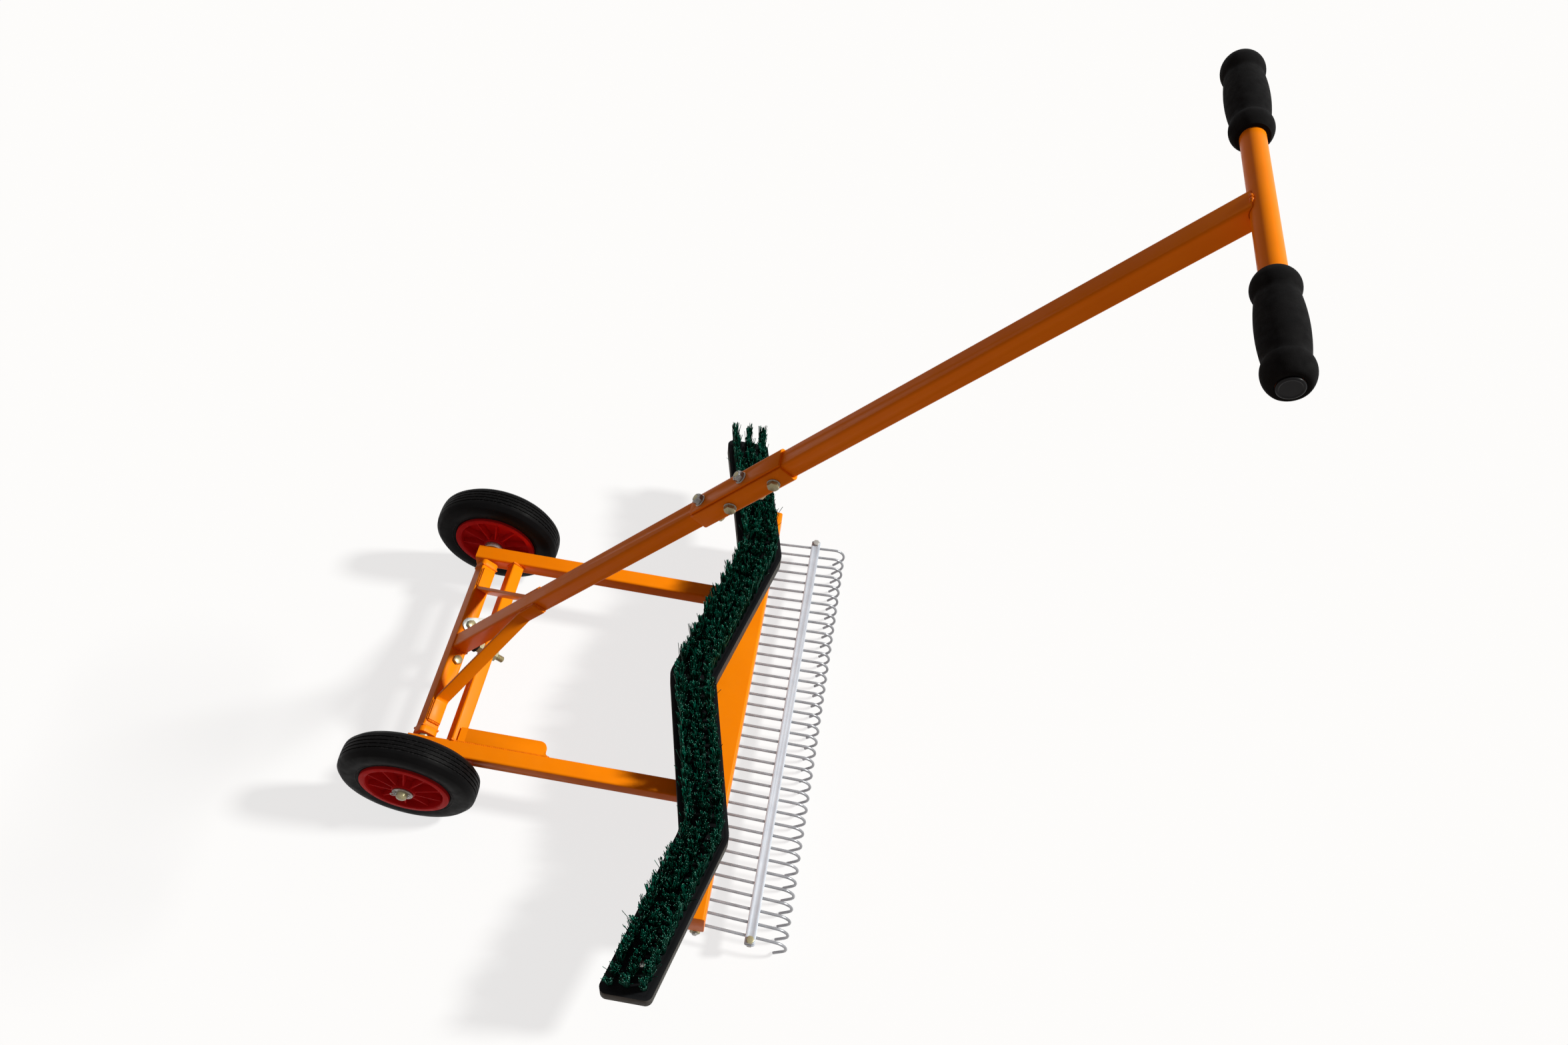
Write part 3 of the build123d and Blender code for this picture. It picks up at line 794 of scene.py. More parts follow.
class Palette:
    """Every finish of the tool, made once."""

    def __init__(self) -> None:
        """Build the materials."""
        self.paint = Finish(
            "orange_powder_coat", (0.89, 0.226, 0.001), (0.94, 0.252, 0.002), (0.32, 0.44), patch=14,
            grain=1400, bump=0.012, specular=0.07, dust=0.04, dust_colour=(0.50, 0.22, 0.06), wear_and_glint=0.25,
            wear_and_glint_colour=(0.34, 0.08, 0.01),
        ).build()
        self.weld = Finish(
            "painted_weld", (0.74, 0.160, 0.001), (0.88, 0.21, 0.002), (0.34, 0.5), patch=120,
            grain=700, bump=0.08, specular=0.14, dust=0.1, dust_colour=(0.36, 0.13, 0.03),
        ).build()
        self.zinc = Finish(
            "bright_zinc", (0.44, 0.44, 0.43), (0.33, 0.33, 0.32), (0.22, 0.40), patch=160, grain=1500,
            bump=0.01, metallic=0.4, dust=0.08, wear_and_glint=0.3, wear_and_glint_colour=(0.70, 0.70, 0.68),
        ).build()
        self.yellow_zinc = Finish(
            "yellow_zinc", (0.37, 0.33, 0.17), (0.30, 0.28, 0.18), (0.22, 0.40), patch=200, grain=1500,
            bump=0.01, metallic=0.4, dust=0.06, wear_and_glint=0.3, wear_and_glint_colour=(0.60, 0.55, 0.42),
        ).build()
        self.nickel = Finish(
            "lock_nut_plate", (0.34, 0.34, 0.335), (0.17, 0.17, 0.165), (0.12, 0.24), patch=220, grain=1500,
            bump=0.01, metallic=0.35, wear_and_glint=0.4, wear_and_glint_colour=(0.82, 0.82, 0.80),
        ).build()
        self.latch = Finish(
            "pale_zinc", (0.60, 0.66, 0.66), (0.52, 0.59, 0.58), (0.42, 0.58), patch=70, grain=900,
            bump=0.012, metallic=0.6, dust=0.06, wear_and_glint=0.2, wear_and_glint_colour=(0.40, 0.42, 0.42),
        ).build()
        self.wire = Finish(
            "drawn_wire", (0.38, 0.395, 0.43), (0.25, 0.26, 0.285), (0.20, 0.34), patch=60, grain=900,
            bump=0.012, metallic=0.55, dust=0.05, stretch=(0.1, 1.0, 1.0),
        ).build()
        self.strip = Finish(
            "galvanised_strip", (0.53, 0.585, 0.67), (0.455, 0.505, 0.59), (0.45, 0.6), patch=55, grain=600,
            bump=0.015, metallic=0.3, dust=0.08, wear_and_glint=0.25, wear_and_glint_colour=(0.36, 0.36, 0.38),
        ).build()
        self.board = Finish(
            "black_board", (0.004, 0.0045, 0.0055), (0.007, 0.0075, 0.009), (0.5, 0.68), patch=25, grain=420,
            bump=0.05, specular=0.06, dust=0.03, dust_colour=(0.03, 0.03, 0.03),
        ).build()
        self.board_edge = Finish(
            "sawn_board_edge", (0.045, 0.045, 0.043), (0.075, 0.074, 0.070), (0.6, 0.8), patch=40, grain=500,
            bump=0.12, specular=0.08, stretch=(0.25, 0.25, 2.0), dust=0.05, dust_colour=(0.10, 0.10, 0.09),
        ).build()
        # Green fibres: the root colour, far darker than the tip, is painted shade inside the tufts.
        self.bristle = BristleFinish(
            "green_fibre", (0.0003, 0.006, 0.004), (0.001, 0.100, 0.064), (0.45, 0.65), patch=300, grain=800,
            bump=0.02, specular=0.03,
        ).build()
        # A share of brighter fibres stands in for sunlit ones: painted highlight, with the same painted root
        # shade.
        self.bristle_painted_highlight = BristleFinish(
            "green_fibre_painted_highlight", (0.0006, 0.020, 0.013), (0.008, 0.290, 0.190), (0.3, 0.5), patch=300,
            grain=800, bump=0.02, specular=0.15,
        ).build()
        # Pale tips on the brighter fibres: painted glint where cut ends catch the light.
        self.bristle_tip_glint = Finish(
            "fibre_tip_painted_glint", (0.06, 0.34, 0.26), (0.30, 0.60, 0.52), (0.3, 0.5), patch=400, grain=800,
            bump=0.01, specular=0.4,
        ).build()
        # Tyre: its lighter edge band on the groove lips and shoulder is partly scuffing and partly a painted
        # glint.
        self.tyre = Finish(
            "tyre_rubber", (0.0034, 0.0034, 0.0038), (0.0058, 0.0058, 0.0063), (0.36, 0.56), patch=30,
            grain=700, bump=0.04, specular=0.03, dust=0.03, dust_colour=(0.02, 0.02, 0.02), wear_and_glint=0.45,
            wear_and_glint_colour=(0.07, 0.07, 0.075),
        ).build()
        # Red hub: its small green and blue share stands in for a painted sheen on the red plastic.
        self.hub = Finish(
            "red_hub", (0.60, 0.018, 0.026), (0.70, 0.024, 0.034), (0.38, 0.54), patch=40, grain=900,
            bump=0.02, specular=0.03, dust=0.04, dust_colour=(0.30, 0.03, 0.03),
        ).build()
        self.rubber = Finish(
            "black_rubber", (0.008, 0.008, 0.008), (0.013, 0.013, 0.013), (0.6, 0.8), patch=90, grain=900,
            bump=0.03, specular=0.1,
        ).build()
        self.foam = FoamFinish(
            "black_foam", (0.0045, 0.0045, 0.005), (0.0075, 0.0075, 0.008), (0.75, 0.92), patch=60,
            grain=1100, bump=0.12, specular=0.05, dust=0.04, dust_colour=(0.03, 0.03, 0.03),
        ).build()
        self.plug = Finish(
            "black_plug", (0.006, 0.006, 0.007), (0.010, 0.010, 0.012), (0.26, 0.38), patch=80, grain=900,
            bump=0.012, specular=0.12,
        ).build()


# Sub-assemblies


@dataclass
class Wheels:
    """Grooved rubber tyres on ribbed plastic hubs."""

    palette: Palette
    centre: float = 220.0
    crown: float = 100.0
    crown_fall: float = 1.0
    crown_half: float = 14.0
    grooves: tuple[float, ...] = (8.4, 2.8)
    groove_mouth: float = 0.9
    groove_foot: float = 0.6
    groove_depth: float = 1.8
    wall: tuple[Point, ...] = (
        (69.0, 21.2), (69.5, 21.8), (70.6, 21.9), (71.1, 21.5), (75.0, 22.0), (79.0, 22.4), (83.0, 22.2),
        (87.0, 21.5), (91.0, 20.5), (92.7, 19.9), (93.4, 19.4), (98.3, 14.6), (98.8, 13.8),
    )
    bead: float = 65.0
    bore: float = 8.06
    ring_inner: float = 56.0
    ring_half: float = 24.5
    web_half: float = 12.0
    boss: float = 17.0
    boss_half: float = 27.4
    ribs: int = 10
    rib_turn: float = 10.0
    rib_width: float = 3.0
    rib_height: float = 8.0
    rib_rise: float = 5.0
    rib_sink: float = 1.6
    rib_taper: float = 0.8
    rib_soft: float = 0.7

    def build(self) -> None:
        """Build both wheels."""
        for side in Side:
            body = Body.WHEEL_LEFT if side is Side.LEFT else Body.WHEEL_RIGHT
            place = sideways(0, side.value * self.centre, 0, side.value)
            tyre = Workpiece(f"tyre_{side.label}_grooved").join(turned(self.tyre_outline(), 144), place)
            tyre.finish(body, Slot.TYRE, [self.palette.tyre], (f"tyre_{side.label}",), 28)
            hub = Workpiece(f"hub_{side.label}_ribbed").join(turned(self.hub_outline(), 96), place)
            spun = place @ Matrix.Rotation(-side.value * math.radians(self.rib_turn), 4, "Z")
            for face in (1, -1):
                for k in range(self.ribs):
                    hub.join(self.rib(k, face), spun)
            hub.finish(body, Slot.HUB, [self.palette.hub], (f"hub_{side.label}",), 35)

    def tyre_outline(self) -> Profile:
        """Outline of the tyre.

        Returns:
            Radius and height of its points, from one bead round to the other.
        """
        half: Profile = [(self.bead, 18.0), (self.bead + 0.4, 20.0), (self.bead + 2.2, 20.9), *self.wall]
        for groove in self.grooves:
            top = self.crown - self.crown_fall * (groove / self.crown_half) ** 2
            foot = top - self.groove_depth
            half += [(top, groove + self.groove_mouth), (foot, groove + self.groove_foot)]
            half += [(foot, groove - self.groove_foot), (top, groove - self.groove_mouth)]
        return [*half, (self.crown, 0.0), *mirrored(half), half[0]]

    def hub_outline(self) -> Profile:
        """Outline of the hub without its ribs.

        Returns:
            Radius and height of its points, from the outer boss round to the bore.
        """
        face: Profile = [
            (self.bore, self.boss_half), (self.boss - 1.2, self.boss_half), (self.boss, self.boss_half - 1.2),
            (self.boss + 1.2, self.web_half + 2.0), (self.boss + 3.0, self.web_half),
            (self.ring_inner - 3.0, self.web_half), (self.ring_inner - 0.8, self.web_half + 2.0),
            (self.ring_inner, self.ring_half - 1.4), (self.ring_inner + 1.4, self.ring_half),
            (self.bead - 1.6, self.ring_half), (self.bead - 0.4, self.ring_half - 0.6),
            (self.bead, self.ring_half - 2.4),
        ]
        return [*face, *mirrored(face), face[0]]

    def rib(self, index: int, face: int) -> Shape:
        """One radial rib on one face of the web.

        Args:
            index: its number round the hub.
            face: 1 for the outer face, -1 for the inner one.

        Returns:
            The rib in the wheel's own millimetres.
        """
        bm = block(self.ring_inner - self.boss + self.rib_sink, self.rib_width, self.rib_height)
        middle = (self.ring_inner + self.boss) / 2
        half_way = self.web_half + self.rib_height / 2
        bmesh.ops.translate(bm, vec=(middle, 0, half_way), verts=bm.verts)
        for v in bm.verts:
            if v.co.z > half_way:
                v.co.z += self.rib_rise if v.co.x < middle else 0.0
                v.co.y *= self.rib_taper
        top = [e for e in bm.edges if all(v.co.z > half_way for v in e.verts)]
        bmesh.ops.bevel(
            bm, geom=top, offset=self.rib_soft, offset_type="OFFSET", affect="EDGES", segments=2,
            profile=0.5, material=-1,
        )
        if face < 0:
            bmesh.ops.rotate(bm, cent=(0, 0, 0), matrix=Matrix.Rotation(math.pi, 3, "X"), verts=bm.verts)
        turn = Matrix.Rotation(math.tau * index / self.ribs, 3, "Z")
        bmesh.ops.rotate(bm, cent=(0, 0, 0), matrix=turn, verts=bm.verts)
        return bm


@dataclass
class AxleSet:
    """Axle, spacers, washers and split pins."""

    palette: Palette
    half: float = 258.0
    dome: tuple[Point, ...] = ((0.0, 0.0), (3.0, 0.15), (5.6, 0.9), (7.3, 2.2), (8.0, 4.0))
    bore: float = 8.02
    rim: float = 15.0
    spacer: tuple[float, float] = (185.0, 192.3)
    spacer_soft: float = 0.6
    washer: tuple[float, float] = (247.7, 249.9)
    washer_soft: float = 0.4
    pin_y: float = 252.0
    pin_wire: float = 0.85
    pin_eye_x: float = -13.0
    pin_eye: tuple[float, float] = (3.6, 3.0)
    pin_eye_turn: float = 0.92
    pin_parting: float = 0.1
    pin_leg: tuple[Point, ...] = ((-8.0, 0.95), (8.6, 0.95), (10.4, 1.6), (11.4, 3.2), (11.9, 4.4))

    def build(self) -> None:
        """Build every piece on the axle."""
        end = [(r, z - self.half) for r, z in self.dome]
        axle = Workpiece("axle_domed").join(turned([*end, *mirrored(end)], 40), sideways(0, 0, 0, 1))
        axle.finish(Body.CARRIAGE, Slot.ZINC, [self.palette.yellow_zinc], ("axle",))
        spacers, washers = Workpiece("spacers_turned"), Workpiece("washers_pressed")
        pins = Workpiece("pins_folded")
        for side in Side:
            out = sideways(0, 0, 0, side.value)
            spacers.join(turned(ring_profile(self.bore, self.rim, *self.spacer, self.spacer_soft)), out)
            washers.join(turned(ring_profile(self.bore, self.rim, *self.washer, self.washer_soft)), out)
            for leg in (1, -1):
                pins.join(self.pin_half(leg), sideways(0, side.value * self.pin_y, 0, side.value))
        spacers.finish(Body.CARRIAGE, Slot.ZINC, [self.palette.zinc], ("axle_spacers",))
        washers.finish(Body.CARRIAGE, Slot.ZINC, [self.palette.zinc], ("axle_washers",))
        pins.finish(Body.CARRIAGE, Slot.ZINC, [self.palette.zinc], ("split_pins",), 50)

    def pin_half(self, leg: int) -> Shape:
        """One leg of a split pin, with half of its eye and its folded end.

        Args:
            leg: 1 or -1, which of the two legs.

        Returns:
            The leg, with x forward and z out of the wheel.
        """
        long, wide = self.pin_eye
        steps = 8
        line: list[Vector] = []
        for k in range(steps + 1):
            a = math.pi * (1.0 - k / steps * self.pin_eye_turn)
            y = wide * math.sin(a) + self.pin_parting
            line.append(Vector((self.pin_eye_x + long * math.cos(a), leg * y, 0.0)))
        line += [Vector((x, leg * y, 0.0)) for x, y in self.pin_leg]
        return wire(line, [self.pin_wire] * len(line), 8)


@dataclass
class Carriage:
    """Painted tubes of the carriage with their welds, and the stop bolt."""

    palette: Palette
    nodes: tuple[str, ...] = (
        "rail_left", "rail_right", "cross_tube", "front_beam", "foot_plate", "tine_lugs",
    )
    soft: float = 0.7
    rail_y: float = 172.5
    half: float = 12.5
    cross_x: float = 46.0
    cross_half: float = 10.0
    cross_weld: float = 1.8
    front_x: float = 395.0
    front_weld: float = 1.9
    front_weld_z: tuple[float, float] = (-11.0, 11.5)
    top_weld: float = 1.5
    top_weld_z: float = 12.2
    top_weld_inset: float = 2.0
    foot_overlap: float = 0.3
    foot_width: float = 22.3
    foot_low: float = 8.5
    foot_rear: tuple[float, float] = (52.5, 63.0)
    foot_front: float = 180.0
    hollow_x: float = 188.5
    hollow_y: float = 6.8
    hollow: float = 6.5
    foot_seam: tuple[Corner, ...] = ((50.0, -160.6, 10.9), (187.0, -160.6, 10.9))
    foot_seam_weld: float = 1.55
    under_seam: tuple[Corner, ...] = ((66.0, -159.6, 8.2), (176.0, -159.6, 8.2))
    under_seam_weld: float = 1.5
    stop_s: float = 29.6
    stop_flats: float = 17.0
    stop_seat: float = -25.2
    stop_head: float = 7.2
    stop_radius: float = 5.0
    stop_shank: float = 27.0
    stop_end: float = -52.0
    stop_thread: float = 13.0
    stop_pitch: float = 1.5
    stop_nut_seat: float = -45.24
    stop_nut: float = 6.8
    buffer_seat: float = -18.0
    buffer: tuple[Point, ...] = (
        (0.0, 0.0), (10.0, 0.0), (10.8, 0.6), (11.0, 1.6), (10.8, 3.6), (9.6, 4.9), (8.0, 5.2), (0.0, 5.2),
    )

    def build(self) -> None:
        """Build the tubes, the welds and the stop."""
        for node in self.nodes:
            dress(node, f"{node}_coated", self.soft, Body.CARRIAGE, Slot.PAINT, self.palette.paint)
        self.welds()
        self.foot_ends()
        self.stop()

    def welds(self) -> None:
        """Beads where the carriage's tubes meet."""
        seams = Seams("carriage_welds")
        here = level(0, 0, 0)
        for side in Side:
            middle = side.value * self.rail_y
            joint = Vector((self.cross_x, middle - side.value * self.half, 0))
            frame_line = [joint + (ALONG * a + ABOVE * b) * self.cross_half for a, b in SQUARE]
            seams.lay(frame_line, self.cross_weld, here)
            for y in (middle - self.half, middle + self.half):
                seams.lay([(self.front_x, y, z) for z in self.front_weld_z], self.front_weld, here)
            reach = self.half - self.top_weld_inset
            across = [(self.front_x, y, self.top_weld_z) for y in (middle - reach, middle + reach)]
            seams.lay(across, self.top_weld, here)
        seams.lay(self.under_seam, self.under_seam_weld, here)
        seams.lay(self.foot_seam, self.foot_seam_weld, here)
        seams.finish(Body.CARRIAGE, Slot.PAINT, [self.palette.weld], crease=60)

    def foot_ends(self) -> None:
        """Ends of the foot plate, up to the cross tube and in a hollow curve to the rail."""
        ends = Workpiece("foot_plate_ends")
        edge = self.half - self.rail_y - self.foot_overlap
        back, front = self.foot_rear
        rear = [(back, edge), (front, edge), (front, edge + self.foot_width), (back, edge + self.foot_width)]
        curve = [(self.foot_front, edge), (self.hollow_x, edge)]
        steps = 8
        for k in range(steps + 1):
            a = math.pi * (1.5 - k / steps / 2)
            x, y = self.hollow * math.cos(a), self.hollow * math.sin(a)
            curve.append((self.hollow_x + x, edge + self.hollow_y + y))
        curve.append((self.foot_front, edge + self.hollow_y))
        for outline in (rear, curve):
            ends.join(flat_piece(outline, self.foot_low, self.half + GAP), level(0, 0, 0))
        ends.finish(Body.CARRIAGE, Slot.PAINT, [self.palette.paint], crease=40)

    def stop(self) -> None:
        """Stop bolt, its lock nut and the buffer on its head."""
        plating = [self.palette.yellow_zinc]
        seat = over_handle(0, self.stop_seat, self.stop_s)
        bolt = Workpiece("stop_bolt_threaded")
        bolt.join(hex_solid(self.stop_flats, self.stop_head), seat)
        bolt.join(round_pin(self.stop_radius, -self.stop_shank, SINK, 24), seat)
        end = over_handle(0, self.stop_end, self.stop_s, -1)
        bolt.join(threaded(self.stop_radius, self.stop_thread, self.stop_pitch), end)
        bolt.finish(Body.CARRIAGE, Slot.ZINC, plating, ("stop_bolt",))
        under = over_handle(0, self.stop_nut_seat, self.stop_s, -1)
        nut = Workpiece("stop_nut_chamfered").join(hex_solid(self.stop_flats, self.stop_nut), under)
        nut.finish(Body.CARRIAGE, Slot.ZINC, plating, ("stop_nut",))
        top = over_handle(0, self.buffer_seat, self.stop_s)
        pad = Workpiece("stop_buffer_moulded").join(turned(list(self.buffer), 40), top)
        pad.finish(Body.CARRIAGE, Slot.BUFFER, [self.palette.rubber], ("stop_buffer",))


@dataclass
class Rake:
    """Rod, spring tines and the two strips that clamp them."""

    palette: Palette
    rod_x: float = 442.5
    rod_z: float = -49.0
    rod: float = 4.0
    rod_half: float = 356.0
    rod_tip: float = 0.6
    rod_nut: tuple[float, float] = (13.0, 6.48)
    lug_end: float = 346.5
    each_side: int = 18
    pitch: float = 18.72
    fan: float = 0.206
    wire: float = 2.1
    eye: float = 6.1
    eye_open: float = 20.0
    eye_end: float = 270.0
    eye_steps: int = 24
    bend_x: float = 554.0
    bend: float = 18.0
    bend_angle: float = 130.0
    bend_steps: int = 16
    strip_x: float = 520.0
    strip_soft: float = 0.5
    clamp: float = 4.75
    bolt_y: float = 349.0
    bolt: float = 3.0
    bolt_flats: float = 10.0
    bolt_head: float = 4.0
    bolt_end: float = 6.0
    bolt_pitch: float = 1.0
    bolt_nut: float = 5.0

    def build(self) -> None:
        """Build the rake."""
        tines = Workpiece("tines_drawn")
        line = self.tine_line()
        for step in range(-self.each_side, self.each_side + 1):
            turn = Matrix.Rotation(math.radians(self.fan * step), 4, "Z")
            place = level(self.rod_x, step * self.pitch, self.rod_z) @ turn
            tines.join(wire(line, [self.wire] * len(line), 10), place)
        tines.finish(Body.CARRIAGE, Slot.WIRE, [self.palette.wire], ("tines",), 50)
        for node in ("strip_upper", "strip_lower"):
            dress(node, f"{node}_rolled", self.strip_soft, Body.CARRIAGE, Slot.STRIP, self.palette.strip)
        self.rod_and_nuts()
        self.strip_bolts()

    def tine_line(self) -> list[Vector]:
        """Middle line of a tine about the rod.

        Returns:
            Its points from the eye to the tip.
        """
        line: list[Vector] = []
        sweep = self.eye_end - self.eye_open
        for k in range(self.eye_steps + 1):
            a = math.radians(self.eye_open + sweep * k / self.eye_steps)
            line.append(Vector((self.eye * math.cos(a), 0, self.eye * math.sin(a))))
        start = self.bend_x - self.rod_x
        line += [Vector((start * share, 0, -self.eye)) for share in (0.25, 0.5, 0.75)]
        for k in range(self.bend_steps + 1):
            a = math.radians(90 - self.bend_angle * k / self.bend_steps)
            drop = self.bend * (math.sin(a) - 1.0)
            line.append(Vector((start + self.bend * math.cos(a), 0, drop - self.eye)))
        a = math.radians(self.bend_angle)
        tip_z = self.wire * abs(math.cos(a)) + GROUND - self.rod_z
        run = (line[-1].z - tip_z) / math.sin(a)
        heading = Vector((math.cos(a), 0, -math.sin(a)))
        tip = line[-1] + heading * run
        line += [line[-1].lerp(tip, 0.5), tip]
        return line

    def rod_and_nuts(self) -> None:
        """Rod with threaded ends, and its nuts outside the end lugs."""
        rod, nuts = Workpiece("tine_rod_threaded"), Workpiece("rod_nuts_chamfered")
        rod.join(round_pin(self.rod, -self.lug_end, self.lug_end, 24), sideways(self.rod_x, 0, self.rod_z, 1))
        for side in Side:
            seat = sideways(self.rod_x, side.value * self.lug_end, self.rod_z, side.value)
            rod.join(threaded(self.rod, self.rod_half - self.lug_end - self.rod_tip), seat)
            nuts.join(hex_solid(*self.rod_nut, GAP), seat)
        rod.finish(Body.CARRIAGE, Slot.ZINC, [self.palette.zinc], ("tine_rod",))
        nuts.finish(Body.CARRIAGE, Slot.ZINC, [self.palette.yellow_zinc], ("rod_nuts",))

    def strip_bolts(self) -> None:
        """Bolts and nuts at the strips' ends."""
        bolts, nuts = Workpiece("strip_bolts_chamfered"), Workpiece("strip_nuts_chamfered")
        middle = self.rod_z - self.eye
        grip = self.clamp + GAP
        for side in Side:
            y = side.value * self.bolt_y
            plating = 1 if side is Side.LEFT else 0
            under = level(self.strip_x, y, middle - grip, -1)
            head = hex_solid(self.bolt_flats, self.bolt_head)
            bolts.join(head, level(self.strip_x, y, middle + grip), plating)
            bolts.join(round_pin(self.bolt, -grip, grip + SINK), level(self.strip_x, y, middle), plating)
            bolts.join(threaded(self.bolt, self.bolt_end, self.bolt_pitch), under, plating)
            nuts.join(hex_solid(self.bolt_flats, self.bolt_nut), under)
        platings = [self.palette.yellow_zinc, self.palette.zinc]
        bolts.finish(Body.CARRIAGE, Slot.ZINC, platings, ("strip_bolts",))
        nuts.finish(Body.CARRIAGE, Slot.ZINC, [self.palette.zinc], ("strip_nuts",))


class BristleSurface(Enum):
    """Materials of a run of bristles, by their index."""

    BED = 0
    FIBRE = 1
    # Tips of the brighter fibres, pale as a painted glint.
    GLINT_TIP = 2
    # Brighter fibres: painted highlight.
    BRIGHT = 3


@dataclass
class Brush:
    """Zigzag board with three rows of splayed tufts."""

    palette: Palette
    low: float = 12.5
    thick: float = 24.0
    width: float = 71.0
    soft: float = 0.9
    edge_tilt: float = 0.5
    mid_x: float = 333.0
    peak_x: float = 397.0
    end_x: float = 336.0
    peak_y: float = 244.0
    strip_end: float = 471.0
    bed: float = 3.0
    bed_inset: float = 7.0
    rows: tuple[int, ...] = (-1, 0, 1)
    row_gap: float = 22.0
    row_tufts: int = 18
    row_inset: float = 3.0
    tuft: float = 4.4
    root: float = 0.5
    lean_x: float = 0.03
    lean_y: float = 0.1
    locks: int = 7
    lock_share: float = 0.55
    lock_hold: float = 0.15
    lock_rise: tuple[float, float] = (0.78, 1.0)
    free_rise: tuple[float, float] = (0.66, 0.87)
    splay_x: float = 12.0
    splay_y: float = 8.5
    reach_x: float = 29.0
    reach_y: float = 474.5
    end_splay: float = 0.45
    end_apart: float = 75.0
    end_rise: float = 0.1
    end_reach: float = 26.0
    end_lean: float = 0.24
    spurs: int = 2
    spur_reach: tuple[float, float] = (-31.0, -24.0)
    spur_rise: tuple[float, float] = (0.98, 1.1)
    spur_y: float = 6.0
    spur_apart: float = 0.5
    dome: float = 0.08
    dome_power: float = 1.5
    strands: int = 100
    strand: float = 0.5
    strand_joints: tuple[float, ...] = (0.55, 1.0)
    strand_bends: tuple[float, ...] = (0.0, 0.8, 1.6, 2.4)
    bright_bend: float = 1.6
    stray: float = 0.3
    stray_share: float = 0.02
    straight: float = 0.02
    height: float = 54.0
    trim: tuple[float, float] = (0.93, 1.0)
    screw_places: tuple[Point, ...] = ((386.0, 432.0), (415.0, 172.5))
    screw_clear: float = 9.0
    screw_head: tuple[Point, ...] = (
        (0.0, 2.5), (2.0, 2.45), (3.6, 2.1), (4.6, 1.3), (5.0, 0.4), (5.0, 0.0), (0.0, 0.0),
    )
    # Black cross bars on the screw heads: painted shade in place of a cut cross socket.
    cross_shade_bar: tuple[float, float, float] = (4.4, 0.9, 0.4)
    cross_shade_z: float = 2.4
    cross_shade_turns: tuple[float, ...] = (20.0, 110.0)
    seed: int = 7

    def build(self) -> None:
        """Build board, tufts and screws."""
        part = softened("brush_board", self.soft)
        for face in part.faces:
            face.material_index = 1 if abs(face.normal.z) < self.edge_tilt else 0
        finishes = [self.palette.board, self.palette.board_edge]
        board = Workpiece("brush_board_sawn").join(part)
        board.finish(Body.CARRIAGE, Slot.BOARD, finishes, ("brush_board",), 40)
        chance = random.Random(self.seed)
        shapes = [self.strand_mesh(bend, BristleSurface.FIBRE) for bend in self.strand_bends]
        # The last shape takes the brighter fibre material, a painted highlight.
        shapes.append(self.strand_mesh(self.bright_bend, BristleSurface.BRIGHT))
        corners = self.corners()
        for run, (start, end) in enumerate(zip(corners, corners[1:])):
            self.run(run + 1, start, end, shapes, chance)
        for shape in shapes:
            bpy.data.meshes.remove(shape)
        self.screw_heads()

    def corners(self) -> Profile:
        """Corners of the zigzag's middle line.

        Returns:
            Their places from right to left.
        """
        half = self.width / 2
        ends = [(self.end_x + half, -self.strip_end), (self.peak_x + half, -self.peak_y)]
        return [*ends, (self.mid_x + half, 0.0), *mirrored(ends)]

    def screws(self) -> Profile:
        """Places of the screws in the board."""
        return [(x, side.value * y) for x, y in self.screw_places for side in Side]

    def strand_mesh(self, bend: float, surface: BristleSurface) -> bpy.types.Mesh:
        """A single fibre that stands up from zero.

        Args:
            bend: how far its tip leaves the straight, in millimetres.
            surface: its material.

        Returns:
            A small mesh to copy.
        """
        bm = bmesh.new()
        bmesh.ops.create_circle(bm, segments=3, radius=self.strand)
        edges = list(bm.edges)
        for share in self.strand_joints:
            made = bmesh.ops.extrude_edge_only(bm, edges=edges)["geom"]
            ring, edges = verts_of(made), edges_of(made)
            shift = bend * share * share - sum(v.co.x for v in ring) / len(ring)
            for v in ring:
                v.co.z = share * self.height
                v.co.x += shift
        for face in bm.faces:
            face.material_index = surface.value
        # Only the brighter fibres get the pale tips of the painted glint.
        tip = BristleSurface.GLINT_TIP if surface is BristleSurface.BRIGHT else surface
        for face in bmesh.ops.holes_fill(bm, edges=edges)["faces"]:
            face.material_index = tip.value
        bmesh.ops.recalc_face_normals(bm, faces=bm.faces)
        mesh = bpy.data.meshes.new("strand")
        bm.to_mesh(mesh)
        bm.free()
        return mesh

    def run(
        self, number: int, start: Point, end: Point, shapes: list[bpy.types.Mesh], chance: random.Random,
    ) -> None:
        """Build one straight run of the brush.

        Args:
            number: its number from the right.
            start: first point of its middle line.
            end: last point of its middle line.
            shapes: fibres to copy.
            chance: source of unevenness.
        """
        piece = Workpiece(f"bristles_{number}_tufted")
        edge = self.width / 2 - self.bed_inset
        top = self.low + self.thick
        plan = [(start, -edge), (end, -edge), (end, edge), (start, edge)]
        bed = [(spot[0] + x, spot[1]) for spot, x in plan]
        piece.join(flat_piece(bed, top - self.bed, top), level(0, 0, 0))
        length = end[1] - start[1]
        for row in self.rows:
            for k in range(self.row_tufts):
                y = start[1] + self.row_inset + (length - 2 * self.row_inset) * (k + 0.5) / self.row_tufts
                x = start[0] + (end[0] - start[0]) * (y - start[1]) / length + row * self.row_gap
                for spot in self.screws():
                    if math.dist((x, y), spot) < self.screw_clear:
                        y = spot[1] + math.copysign(self.screw_clear, y - spot[1])
                self.plant(piece, x, y, row, shapes, chance)
        finishes = {
            BristleSurface.BED: self.palette.board,
            BristleSurface.FIBRE: self.palette.bristle,
            BristleSurface.GLINT_TIP: self.palette.bristle_tip_glint,
            BristleSurface.BRIGHT: self.palette.bristle_painted_highlight,
        }
        in_order = [finishes[surface] for surface in BristleSurface]
        piece.finish(Body.CARRIAGE, Slot.BRISTLE, in_order, (f"bristles_{number}",), 60)

